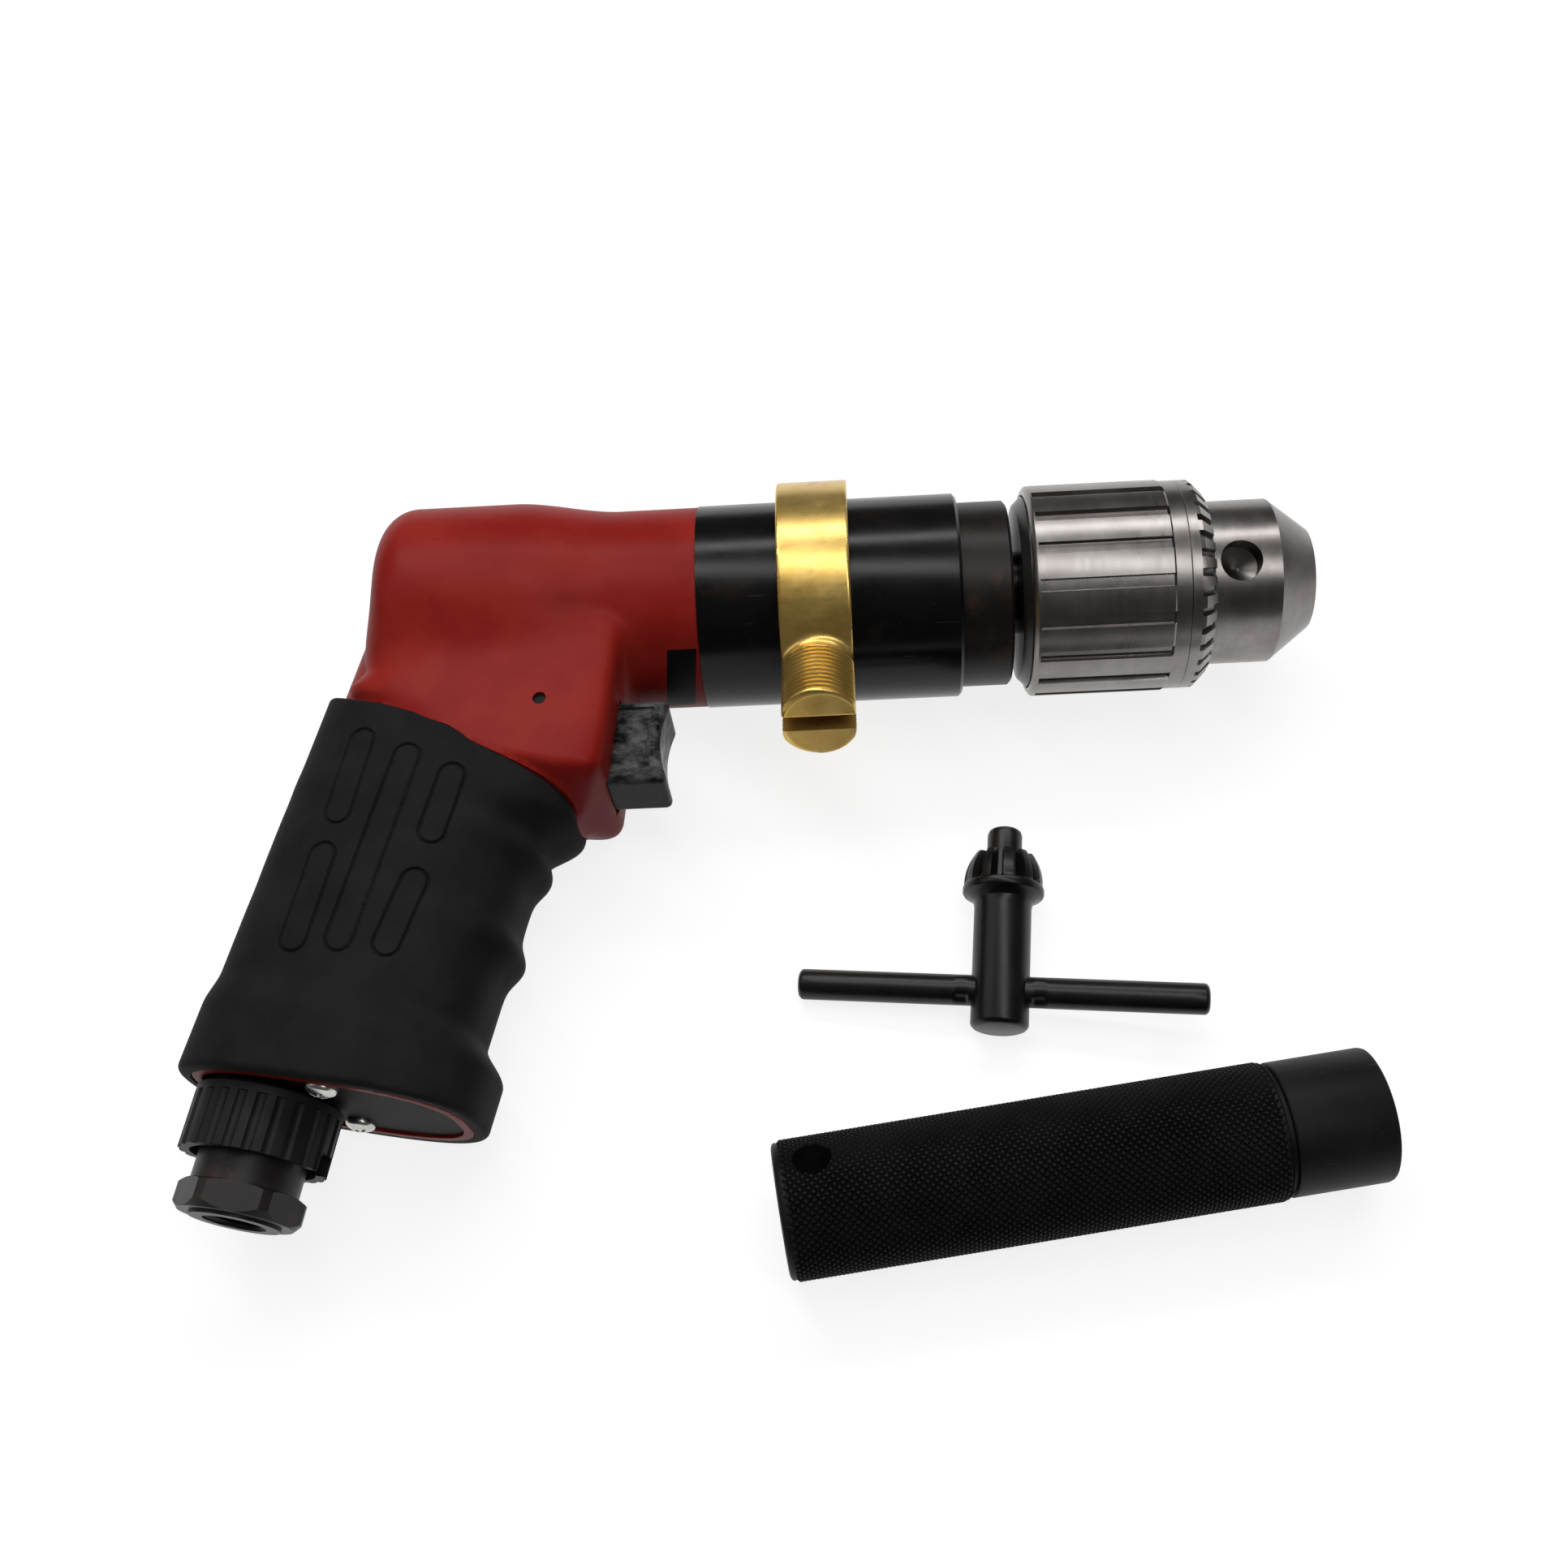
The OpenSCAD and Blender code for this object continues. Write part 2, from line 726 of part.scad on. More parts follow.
module trigger_pocket() {
  translate([pocket_end_x, -trigger_drop - trigger_h / 2 - clear, -trigger_t / 2 - clear])
    cube([trigger_travel + trigger_reach + block_front, trigger_h + 2 * clear, trigger_t + 2 * clear]);
}

module motor_housing() {
  color(red) in_drill() difference() {
    union() {
      barrel_solid();
      in_handle() loft(concat(
        [for (j = [0:block_rings]) block_ring(j)],
        [grip_ring(0, rubber_t, 0)],
        [for (j = [0:core_rings]) grip_ring(j, rubber_t, rubber_gap)]
      ));
    }
    rod(rear_plate_x, overrun, motor_bore_d / 2);
    trigger_pocket();
    translate([0, -trigger_drop, 0]) rod(valve_bore_x, pocket_end_x + overrun, valve_bore_d / 2);
    translate([trigger_pin_x, trigger_pin_y, -block_thick])
      cylinder(h = 2 * block_thick, r = trigger_pin_d / 2 + slip);
    translate([port_x, 0, 0]) rotate([90, 0, 0]) cylinder(h = trigger_drop, r = port_d / 2);
    in_handle() {
      down_handle(rubber_top_v, inlet_thread_v, passage_d / 2);
      for (side = [-1, 1])
        down_handle(block_top_v, handle_len, exhaust_d / 2, exhaust_u, side * exhaust_w);
    }
    in_inlet() {
      down_handle(inlet_seal_v, handle_len, inlet_thread_r + slip);
      translate([0, 0, recess_v]) linear_extrude(base_plate_t + overrun) butt_outline(base_rim);
      for (side = [-1, 1])
        down_handle(recess_v - screw_len, handle_len, screw_d / 2 + slip, screw_u, side * screw_w);
    }
  }
}

module grip_sleeve() {
  color(black_rubber) in_drill() in_handle() sleeve_loft(
    [for (j = [0:core_rings]) grip_ring(j, 0, rubber_gap)],
    [for (j = [0:core_rings]) grip_ring(j, rubber_t - slip, rubber_gap)]
  );
}

module gear_case() {
  color(black_steel) in_drill() difference() {
    revolve([[-spigot_len, 0], [-spigot_len, motor_bore_d / 2 - slip], [0, motor_bore_d / 2 - slip],
      [0, case_r], [case_len - edge, case_r], [case_len, case_r - edge], [case_len, 0]]);
    rod(-spigot_len - overrun, case_len + overrun, case_bore_d / 2);
  }
}

module clamp_nut() {
  nut_r = clamp_nut_d / 2;
  color(black_steel) in_drill() difference() {
    revolve([[case_len - nut_spigot_len, 0], [case_len - nut_spigot_len, case_bore_d / 2 - slip],
      [case_len, case_bore_d / 2 - slip], [case_len, nut_r], [nut_end - edge, nut_r],
      [nut_end, nut_r - edge], [nut_end, 0]]);
    rod(case_len - nut_spigot_len - overrun, nut_end + overrun, spacer_d / 2 + clear);
    rod(case_len - nut_spigot_len - overrun, case_len - nut_spigot_len + seal_w, seal_r);
  }
}

module spindle_seal() {
  seal_x = case_len - nut_spigot_len;
  color(black_rubber) in_drill()
    tube(seal_x, seal_x + seal_w, seal_r - slip, spacer_d / 2 + running);
}

module ring_gear() {
  color(dark_steel) in_drill() difference() {
    rod(ring_gear_x, ring_gear_end, case_bore_d / 2 - slip);
    translate([ring_gear_x - overrun, 0, 0]) rotate([90, 0, 90])
      linear_extrude(ring_gear_end - ring_gear_x + 2 * overrun)
        polygon(gear_outline(ring_teeth, gear_module * (ring_teeth / 2 - addendum_share),
          gear_module * (ring_teeth / 2 + dedendum_share), backlash / 2));
  }
}

module gear_washer() {
  color(dark_steel) in_drill()
    tube(ring_gear_end, rear_spindle_x, case_bore_d / 2 - slip, carrier_r + 2 * clear);
}

module bearing_spacer() {
  race = race_t(spindle_d, case_bore_d);
  color(dark_steel) in_drill()
    tube(
      rear_spindle_x + spindle_bearing_w,
      front_spindle_x,
      case_bore_d / 2 - slip,
      case_bore_d / 2 - race
    );
}

// Air motor
module motor_cylinder() {
  port_r = 1.8;
  port_count = 4;
  color(dark_steel) in_drill() difference() {
    rod(cylinder_x, front_plate_x, motor_bore_d / 2 - slip);
    translate([0, cylinder_offset, 0])
      rod(cylinder_x - overrun, front_plate_x + overrun, cylinder_bore_d / 2);
    for (side = [-1, 1], k = [1:port_count])
      about_spindle(180 + side * 45)
        translate([between(cylinder_x, front_plate_x, k, port_count + 1), 0, 0])
          rotate([-90, 0, 0]) cylinder(h = motor_bore_d, r = port_r);
    dowel_place() rod(cylinder_x - overrun, front_plate_x + overrun, dowel_r + slip);
  }
}

dowel_r = 1.2;
dowel_bite = 2.5;
dowel_orbit = (motor_bore_d / 2 + cylinder_bore_d / 2 - cylinder_offset) / 2;

module dowel_place() {
  translate([0, -dowel_orbit, 0]) children();
}

module cylinder_dowel() {
  color(steel) in_drill() dowel_place()
    rod(cylinder_x - dowel_bite, front_plate_x + dowel_bite, dowel_r);
}

module rear_end_plate() {
  color(dark_steel) in_drill() difference() {
    rod(rear_plate_x, cylinder_x, motor_bore_d / 2 - slip);
    rod(rear_plate_x - overrun, rear_plate_x + motor_bearing_w, motor_bearing_d / 2);
    rod(rear_plate_x, cylinder_x + overrun, shaft_clear_r);
    dowel_place() rod(cylinder_x - dowel_bite, cylinder_x + overrun, dowel_r + slip);
  }
}

module front_end_plate() {
  color(dark_steel) in_drill() difference() {
    rod(front_plate_x, -spigot_len, motor_bore_d / 2 - slip);
    rod(front_bearing_x, -spigot_len + overrun, motor_bearing_d / 2);
    rod(front_plate_x - overrun, -spigot_len, shaft_clear_r);
    dowel_place() rod(front_plate_x - overrun, front_plate_x + dowel_bite, dowel_r + slip);
  }
}

module rear_motor_bearing() {
  color(steel) in_drill() outer_race(rear_bearing_x, motor_bearing_w, motor_bearing_bore, motor_bearing_d);
}

module front_motor_bearing() {
  color(steel) in_drill() outer_race(front_bearing_x, motor_bearing_w, motor_bearing_bore, motor_bearing_d);
}

module rear_spindle_bearing() {
  color(steel) in_drill() outer_race(rear_spindle_x, spindle_bearing_w, spindle_d, case_bore_d);
}

module front_spindle_bearing() {
  color(steel) in_drill() outer_race(front_spindle_x, spindle_bearing_w, spindle_d, case_bore_d);
}

module vane_slots(width, bottom, top, start, end) {
  for (k = [0:vane_count - 1])
    about_spindle(360 / vane_count * k)
      translate([start, bottom, -width / 2]) cube([end - start, top - bottom, width]);
}

module rotor() {
  rotor_r = rotor_d / 2;
  color(steel) in_drill() difference() {
    union() {
      rod(cylinder_x + rotor_play, front_plate_x - rotor_play, rotor_r);
      rod(rear_plate_x + rotor_play, -spigot_len, shaft_r);
      rod(-spigot_len, planet_1_x + stage_1_face, pinion_bore_r - slip);
    }
    vane_slots(vane_t + 2 * running, rotor_r - vane_depth - running, rotor_r + overrun,
      cylinder_x, front_plate_x);
  }
}

module rotor_vanes() {
  rotor_r = rotor_d / 2;
  color(fibre) in_drill() intersection() {
    vane_slots(vane_t, rotor_r - vane_depth, rotor_r, cylinder_x + rotor_play, front_plate_x - rotor_play);
    rod(cylinder_x, front_plate_x, rotor_r);
  }
}

module rotor_races() {
  color(steel) in_drill() {
    inner_race(rear_bearing_x, motor_bearing_w, motor_bearing_bore, motor_bearing_d);
    inner_race(front_bearing_x, motor_bearing_w, motor_bearing_bore, motor_bearing_d);
  }
}

module rotor_pinion() {
  color(dark_steel) in_drill() difference() {
    gear(ring_gear_x, planet_1_x + stage_1_face - ring_gear_x, sun_teeth);
    rod(ring_gear_x - overrun, carrier_x, pinion_bore_r);
  }
}

// Reduction gear
module stage_1_carrier() {
  color(dark_steel) in_drill() difference() {
    union() {
      rod(carrier_x, carrier_x + carrier_t, carrier_r);
      gear(carrier_x, planet_2_x + stage_2_face - carrier_x, sun_teeth);
    }
    planet_pin_holes(carrier_x - overrun, carrier_x + carrier_t + overrun);
  }
}

module stage_1_pins() {
  color(steel) in_drill() planet_pins(planet_1_x, carrier_x + carrier_t);
}

module stage_1_planet(index) {
  color(steel) in_drill() planet(planet_1_x, stage_1_face, index);
}

module stage_2_planet(index) {
  color(steel) in_drill() planet(planet_2_x, stage_2_face, index);
}

module stage_2_pins() {
  color(steel) in_drill() planet_pins(planet_2_x, flange_end);
}

module spindle() {
  spindle_r = spindle_d / 2;
  thread_r = chuck_thread_d / 2;
  thread_end = chuck_x + chuck_thread_len;
  color(dark_steel) in_drill() difference() {
    revolve([[flange_x, 0], [flange_x, carrier_r], [flange_end, carrier_r], [flange_end, spindle_r],
      [chuck_x, spindle_r], [chuck_x, thread_r],
      [thread_end - edge, thread_r], [thread_end, thread_r - edge],
      [thread_end, 0]]);
    planet_pin_holes(flange_x - overrun, flange_end + overrun);
  }
}

module spindle_races() {
  color(steel) in_drill() {
    inner_race(rear_spindle_x, spindle_bearing_w, spindle_d, case_bore_d);
    inner_race(front_spindle_x, spindle_bearing_w, spindle_d, case_bore_d);
  }
}

module spindle_spacer() {
  color(black_steel) in_drill()
    tube(front_spindle_x + spindle_bearing_w, chuck_x, spacer_d / 2, spindle_d / 2 + slip);
}

// Chuck
function jaw_turn(index) = jaw_angle_first + 360 / jaw_count * index;

// Axis of a jaw: it meets the nose's front face close to the spindle and runs back and outwards
module on_jaw_axis() {
  translate([nose_x, jaw_tip_orbit, 0]) rotate([0, 0, -jaw_angle]) children();
}

module chuck_body() {
  rear_chamfer = 1.6;
  color(steel) in_drill() difference() {
    revolve([[chuck_x, 0], [chuck_x, chuck_rear_r - rear_chamfer], [chuck_x + rear_chamfer, chuck_rear_r],
      [chuck_nut_x - edge, chuck_rear_r], [chuck_nut_x - edge, nut_groove_r],
      [chuck_nut_x + chuck_nut_w + edge / 2, nut_groove_r], [chuck_nut_x + chuck_nut_w + edge / 2, nose_r],
      [nose_x - nose_cone_len, nose_r], [nose_x, nose_front_d / 2], [nose_x, 0]]);
    rod(chuck_x - overrun, chuck_x + chuck_thread_len + overrun, chuck_thread_d / 2 + slip);
    rod(nose_x - mouth_depth, nose_x + overrun, mouth_r);
    for (k = [0:jaw_count - 1])
      about_spindle(jaw_turn(k)) on_jaw_axis()
        rod((jaw_rear_x - nose_x) / cos(jaw_angle) - 2 * overrun, jaw_bore_lead, jaw_bore_r);
    for (k = [0:jaw_count - 1])
      about_spindle(pilot_angle + 360 / jaw_count * k)
        translate([pilot_x, nose_r - pilot_depth, 0]) rotate([-90, 0, 0])
          rotate_extrude() polygon([[0, -pilot_cone], [pilot_hole_d / 2, 0],
            [pilot_hole_d / 2, pilot_depth + overrun], [0, pilot_depth + overrun]]);
  }
}

module chuck_jaw(index) {
  apex_r = jaw_open_r - shank_min_d / 2 + 2 * running;
  half_angle = 180 / jaw_count;
  far_r = sleeve_d;
  color(steel) in_drill() about_spindle(jaw_turn(index)) intersection() {
    on_jaw_axis() rod((jaw_rear_x - nose_x) / cos(jaw_angle) - overrun, overrun, jaw_r);
    translate([jaw_rear_x, 0, 0]) rotate([90, 0, 90]) linear_extrude(jaw_tip_x - jaw_rear_x)
      polygon([[jaw_open_r, (jaw_open_r - apex_r) * tan(half_angle)],
        [jaw_open_r, -(jaw_open_r - apex_r) * tan(half_angle)],
        [far_r, -(far_r - apex_r) * tan(half_angle)], [far_r, (far_r - apex_r) * tan(half_angle)]]);
    rod(jaw_rear_x - overrun, nose_x, sleeve_bore_r - clear);
  }
}

module chuck_sleeve() {
  outer_r = sleeve_d / 2;
  band_step = 0.3;
  band_r = outer_r - band_step;
  tooth_x = sleeve_end - sleeve_teeth_len;
  tip_step = 2.8;
  tip_r = outer_r - tip_step;
  cone_len = 2.6;
  cone_angle = atan((band_r - tip_r) / cone_len);
  front_r = nose_r + clear;
  groove_w = 2.5;
  groove_depth = 0.6;
  rear_band = 1.2;
  front_band = 2.6;
  rib_start = sleeve_x + rear_band;
  rib_end = tooth_x - front_band;
  tooth_pitch = 2 * PI * tip_r / sleeve_teeth;
  tooth_depth = 1.5;
  notch_len = cone_len / cos(cone_angle);
  color(steel) in_drill() difference() {
    revolve([[sleeve_x, sleeve_bore_r], [sleeve_x, outer_r - edge], [sleeve_x + edge, outer_r],
      [rib_end, outer_r], [rib_end, band_r], [sleeve_end - cone_len, band_r], [sleeve_end, tip_r],
      [sleeve_end, front_r], [tooth_x, front_r], [tooth_x, sleeve_bore_r]]);
    for (k = [0:sleeve_grooves - 1])
      about_spindle(360 / sleeve_grooves * k)
        translate([rib_start, outer_r - groove_depth, -groove_w / 2])
          cube([rib_end - rib_start, groove_depth + overrun, groove_w]);
    for (k = [0:sleeve_teeth - 1])
      about_spindle(360 / sleeve_teeth * k)
        translate([sleeve_end, tip_r, 0]) rotate([0, 0, -cone_angle])
          translate([-notch_len, -tooth_depth, 0]) rotate([90, 0, 90])
            linear_extrude(notch_len + 2 * overrun)
              polygon([[0, -tooth_pitch / 8], [0, tooth_pitch / 8],
                [2 * tooth_depth, tooth_pitch / 3], [2 * tooth_depth, -tooth_pitch / 3]]);
  }
}

module chuck_nut() {
  jaw_clear_r = jaw_tip_orbit + (nose_x - chuck_nut_x) * tan(jaw_angle) + jaw_r / cos(jaw_angle) + clear;
  color(dark_steel) in_drill()
    tube(chuck_nut_x, chuck_nut_x + chuck_nut_w, sleeve_bore_r - slip,
      max(jaw_clear_r, nut_groove_r + clear));
}

// Trigger and throttle
module on_trigger_axis() {
  translate([0, -trigger_drop, 0]) children();
}

module trigger() {
  front_x = trigger_reach - block_front;
  hollow_r = (pow(trigger_h / 2, 2) + pow(trigger_hollow, 2)) / 2 / trigger_hollow;
  slot_x = trigger_pin_x - trigger_pin_d / 2 - clear;
  slot_y = trigger_pin_y + trigger_drop - trigger_pin_d / 2 - clear;
  color(black_rubber) in_drill() on_trigger_axis() difference() {
    union() {
      difference() {
        translate([trigger_back_x, -trigger_h / 2, -trigger_t / 2])
          cube([front_x - trigger_back_x, trigger_h, trigger_t]);
        for (side = [-1, 1])
          translate([front_x, 0, side * trigger_t / 2]) rotate([side * 90, 0, 0])
            translate([0, 0, -trigger_h]) linear_extrude(2 * trigger_h)
              polygon([[overrun, -trigger_bevel - overrun], [overrun, overrun],
                [-trigger_bevel - overrun, overrun]]);
      }
      rod(bushing_neck_x + trigger_travel + clear, trigger_back_x + overrun, trigger_shank_d / 2);
    }
    translate([front_x + hollow_r - trigger_hollow, 0, -trigger_t])
      cylinder(h = 2 * trigger_t, r = hollow_r);
    translate([slot_x, slot_y, -trigger_t / 2])
      cube([trigger_pin_d + 2 * clear + trigger_travel, trigger_shank_d, trigger_t]);
  }
}

module trigger_pin() {
  half = block_thick / 2 - trigger_pin_recess;
  color(black_steel) in_drill() translate([trigger_pin_x, trigger_pin_y, -half])
    cylinder(h = 2 * half, r = trigger_pin_d / 2);
}

module valve_bushing() {
  color(brass) in_drill() difference() {
    on_trigger_axis() difference() {
      rod(bushing_x, pocket_end_x - clear, valve_bore_d / 2 - slip);
      rod(bushing_neck_x, pocket_end_x, trigger_shank_d / 2 + running);
      rod(bushing_x - overrun, bushing_neck_x + overrun, stem_port_d / 2);
      translate([port_x, 0, 0]) rotate([-90, 0, 0]) cylinder(h = valve_bore_d, r = stem_port_d / 2);
    }
    translate([trigger_pin_x, trigger_pin_y, -valve_bore_d])
      cylinder(h = 2 * valve_bore_d, r = trigger_pin_d / 2 + slip);
  }
}

module throttle_valve() {
  color(steel) in_drill() on_trigger_axis() {
    rod(valve_head_x, valve_head_x + valve_head_t, valve_head_r);
    rod(valve_head_x, bushing_neck_x + trigger_travel + clear, stem_d / 2);
  }
}

module valve_seal() {
  color(black_rubber) in_drill() on_trigger_axis()
    tube(valve_head_x + valve_head_t, bushing_x, valve_head_r, stem_d / 2 + slip);
}

spring_sides = 6;
spring_steps = 8;
spring_rings = spring_curls * spring_steps;
spring_rise = (spring_len - spring_wire_d) / spring_rings;

function spring_point(ring, side) =
  let (turn = 360 * ring / spring_steps)
  let (lean = 360 * side / spring_sides)
  let (radius = spring_r + spring_wire_d / 2 * cos(lean))
  [
    valve_bore_x + spring_wire_d / 2 + ring * spring_rise + spring_wire_d / 2 * sin(lean),
    radius * cos(turn),
    radius * sin(turn)
  ];

spring_gap = spring_rise * spring_steps - spring_wire_d;
echo(spring_gap = spring_gap);

module valve_spring() {
  color(steel) in_drill() on_trigger_axis() polyhedron(
    points = [for (j = [0:spring_rings]) for (i = [0:spring_sides - 1]) spring_point(j, i)],
    faces = concat(
      [for (j = [0:spring_rings - 1]) for (i = [0:spring_sides - 1])
        let (a = j * spring_sides + i)
        let (b = j * spring_sides + (i + 1) % spring_sides)
        for (corner = [[a, b, b + spring_sides], [a, b + spring_sides, a + spring_sides]]) corner],
      [[for (i = [0:spring_sides - 1]) spring_sides - 1 - i]],
      [[for (i = [0:spring_sides - 1]) spring_rings * spring_sides + i]]
    )
  );
}

// Air inlet and exhaust
module inlet_bushing() {
  neck_r = inlet_neck_d / 2;
  ledge_v = deflector_v - clear;
  hex_sides = 6;
  hex_corner_r = inlet_hex / 2 / cos(180 / hex_sides);
  turned_r = hex_corner_r - hex_corner_cut;
  ledge_r = inlet_thread_r + ledge_step;
  hold_v = deflector_v + deflector_top + clear;
  color(black_steel) in_drill() in_inlet() difference() {
    union() {
      revolve_handle([[inlet_thread_v, 0], [inlet_thread_v, inlet_thread_r], [ledge_v, inlet_thread_r],
        [ledge_v, ledge_r], [hold_v, ledge_r], [hold_v, neck_r], [hex_v, neck_r], [hex_v, 0]]);
      intersection() {
        translate([0, 0, hex_v])
          rotate([0, 0, hex_turn])
            cylinder(h = inlet_hex_h, r = hex_corner_r, $fn = hex_sides);
        revolve_handle([[hex_v, 0], [hex_v, inlet_hex / 2], [hex_v + edge, turned_r],
          [boss_v - 2 * edge, turned_r], [boss_v, inlet_hex / 2], [boss_v, 0]]);
      }
      down_handle(boss_v - edge, boss_v + boss_h, boss_r);
    }
    down_handle(bore_floor_v, boss_v + boss_h + overrun, inlet_bore_d / 2);
    down_handle(bore_floor_v - screen_t, boss_v, screen_seat_r);
    down_handle(inlet_thread_v - overrun, boss_v, inlet_bore_d / 2 - overrun);
  }
}

module inlet_seal() {
  color(black_rubber) in_drill() in_inlet()
    revolve_handle([[inlet_seal_v, inlet_thread_r - 2 * seal_ring_r], [inlet_seal_v, inlet_thread_r],
      [inlet_thread_v, inlet_thread_r], [inlet_thread_v, inlet_thread_r - 2 * seal_ring_r]]);
}

module inlet_screen() {
  screen_v = bore_floor_v - screen_t;
  hole_r = 0.8;
  hole_orbit = 3;
  hole_count = 6;
  color(zinc) in_drill() in_inlet() difference() {
    down_handle(screen_v, screen_v + screen_t, screen_seat_r - slip);
    down_handle(screen_v - overrun, screen_v + screen_t + overrun, hole_r);
    for (k = [0:hole_count - 1])
      rotate([0, 0, 360 / hole_count * k])
        down_handle(screen_v - overrun, screen_v + screen_t + overrun, hole_r, hole_orbit);
  }
}

module exhaust_deflector() {
  outer_r = deflector_d / 2;
  inner_r = inlet_thread_r + ledge_step + running;
  color(black_rubber) in_drill() in_inlet() difference() {
    revolve_handle([[deflector_v, inner_r], [deflector_v, outer_r - edge], [deflector_v + edge, outer_r],
      [neck_v - edge, outer_r], [neck_v - edge, outer_r - deflector_wall],
      [deflector_v + deflector_top, outer_r - deflector_wall], [deflector_v + deflector_top, inner_r]]);
    for (k = [0:deflector_flutes - 1])
      rotate([0, 0, 360 / deflector_flutes * k])
        translate([outer_r + flute_r / 2, 0, deflector_v + deflector_top])
          cylinder(h = deflector_h, r = flute_r, $fn = 32);
    translate([0, -notch_w / 2, neck_v - notch_h]) cube([deflector_d, notch_w, notch_h]);
  }
}

module base_plate() {
  color(black_rubber) in_drill() in_inlet() difference() {
    translate([0, 0, recess_v]) linear_extrude(base_plate_t) butt_outline(base_rim + slip);
    down_handle(recess_v - overrun, handle_len, inlet_thread_r + slip);
    for (side = [-1, 1])
      down_handle(recess_v - overrun, handle_len, screw_d / 2 + slip, screw_u, side * screw_w);
  }
}

module base_screws() {
  head_v = recess_v + base_plate_t;
  color(zinc) in_drill() in_inlet() for (side = [-1, 1])
    difference() {
      union() {
        down_handle(recess_v - screw_len, head_v, screw_d / 2, screw_u, side * screw_w);
        down_handle(head_v, head_v + screw_head_h, screw_head_d / 2, screw_u, side * screw_w);
      }
      for (turn = [0, 90])
        translate([screw_u, side * screw_w, head_v + screw_head_h]) rotate([0, 0, turn])
          cube([screw_head_d * slot_shares[0], screw_head_d * slot_shares[1], screw_head_h], center = true);
    }
}

// Length and width of the cross in a screw's head
slot_shares = [0.6, 0.16];

// Side handle
module handle_ring() {
  stud_r = stud_d / 2;
  middle_x = ring_x + ring_w / 2;
  root_r = case_r + edge;
  color(brass) in_drill() difference() {
    union() {
      revolve([[ring_x, 0], [ring_x, ring_r - edge], [ring_x + edge, ring_r],
        [ring_x + ring_w - edge, ring_r], [ring_x + ring_w, ring_r - edge], [ring_x + ring_w, 0]]);
      about_spindle(180 - stud_angle) intersection() {
        translate([middle_x, root_r, 0]) rotate([-90, 0, 0]) cylinder(h = stud_reach - root_r, r = stud_r);
        translate([ring_x, 0, -stud_d]) cube([ring_w, stud_reach, 2 * stud_d]);
      }
    }
    rod(ring_x - overrun, ring_x + ring_w + overrun, case_r + running);
    about_spindle(180 - stud_angle)
      translate([ring_x - overrun, 0, -stud_split / 2])
        cube([ring_w + 2 * overrun, stud_reach + overrun, stud_split]);
  }
}

module side_handle() {
  grip_r = side_handle_d / 2;
  collar_step = 0.4;
  collar_r = grip_r - collar_step;
  groove_depth = 0.8;
  groove_r = collar_r - groove_depth;
  groove_w = 1.2;
  collar_x = side_handle_len - side_collar_len;
  socket_r = stud_d / 2 + running;
  socket_depth = stud_reach - ring_r + overrun;
  cross_x = 7;
  cross_turn = -28;
  color(black_steel) on_table() translate([side_handle_x, side_handle_y, grip_r])
    rotate([0, 0, side_handle_turn]) difference() {
      revolve([[0, 0], [0, grip_r - edge], [edge, grip_r], [collar_x - groove_w, grip_r],
        [collar_x - groove_w, groove_r], [collar_x, groove_r], [collar_x, collar_r],
        [side_handle_len - edge, collar_r], [side_handle_len, collar_r - edge], [side_handle_len, 0]]);
      rod(side_handle_len - socket_depth, side_handle_len + overrun, socket_r);
      translate([cross_x, 0, 0]) rotate([cross_turn, 0, 0])
        cylinder(h = side_handle_d + 2 * overrun, r = cross_hole_d / 2, center = true);
    }
}

// Chuck key: it lies on the edge of its toothed head and the back end of its shank
key_gear_len = 8.5;
key_pilot_len = 5.8;
key_gear_y = key_len - key_pilot_len - key_gear_len;
key_shank_back = 7.6;
key_tilt = atan((key_gear_d - key_shank_d) / 2 / (key_gear_y + key_shank_back));
key_axis_z = key_shank_d / 2 * cos(key_tilt) + (key_shank_back - edge) * sin(key_tilt);

module in_key() {
  on_table() translate([key_x, key_y, key_axis_z]) rotate([0, 0, key_turn]) rotate([key_tilt, 0, 0])
    rotate([0, key_roll, 0]) children();
}

module key_shank() {
  shank_r = key_shank_d / 2;
  gear_r = key_gear_d / 2;
  pilot_r = key_pilot_d / 2;
  tooth_w = PI * gear_r / key_teeth;
  tooth_depth = 1.8;
  color(black_steel) in_key() difference() {
    rotate([0, 0, 90]) revolve([[-key_shank_back, 0], [-key_shank_back, shank_r - edge],
      [edge - key_shank_back, shank_r], [key_gear_y - shank_r / 2, shank_r], [key_gear_y, gear_r - edge],
      [key_gear_y + edge, gear_r], [key_gear_y + key_gear_len * key_rim_share, gear_r],
      [key_gear_y + key_gear_len, shank_r - edge], [key_gear_y + key_gear_len, pilot_r],
      [key_len - 2 * edge, pilot_r], [key_len, pilot_r - 2 * edge], [key_len, 0]]);
    for (k = [0:key_teeth - 1])
      rotate([0, 360 / key_teeth * k, 0])
        translate([0, key_gear_y + key_gear_len * key_rim_share, gear_r])
          rotate([-atan((gear_r - shank_r + edge) / (key_gear_len * (1 - key_rim_share))), 0, 0])
            translate([-tooth_w / 2, -tooth_depth, -tooth_depth])
              cube([tooth_w, key_gear_len, 2 * tooth_depth]);
    rotate([0, 90, 0]) cylinder(h = 2 * key_shank_d, r = key_bar_d / 2 + slip, center = true);
  }
}

// Share of the toothed head that is a plain rim
key_rim_share = 0.4;

module key_bar() {
  color(black_steel) in_key() edged_rod(-key_bar_len / 2, key_bar_len / 2, key_bar_d / 2, edge);
}

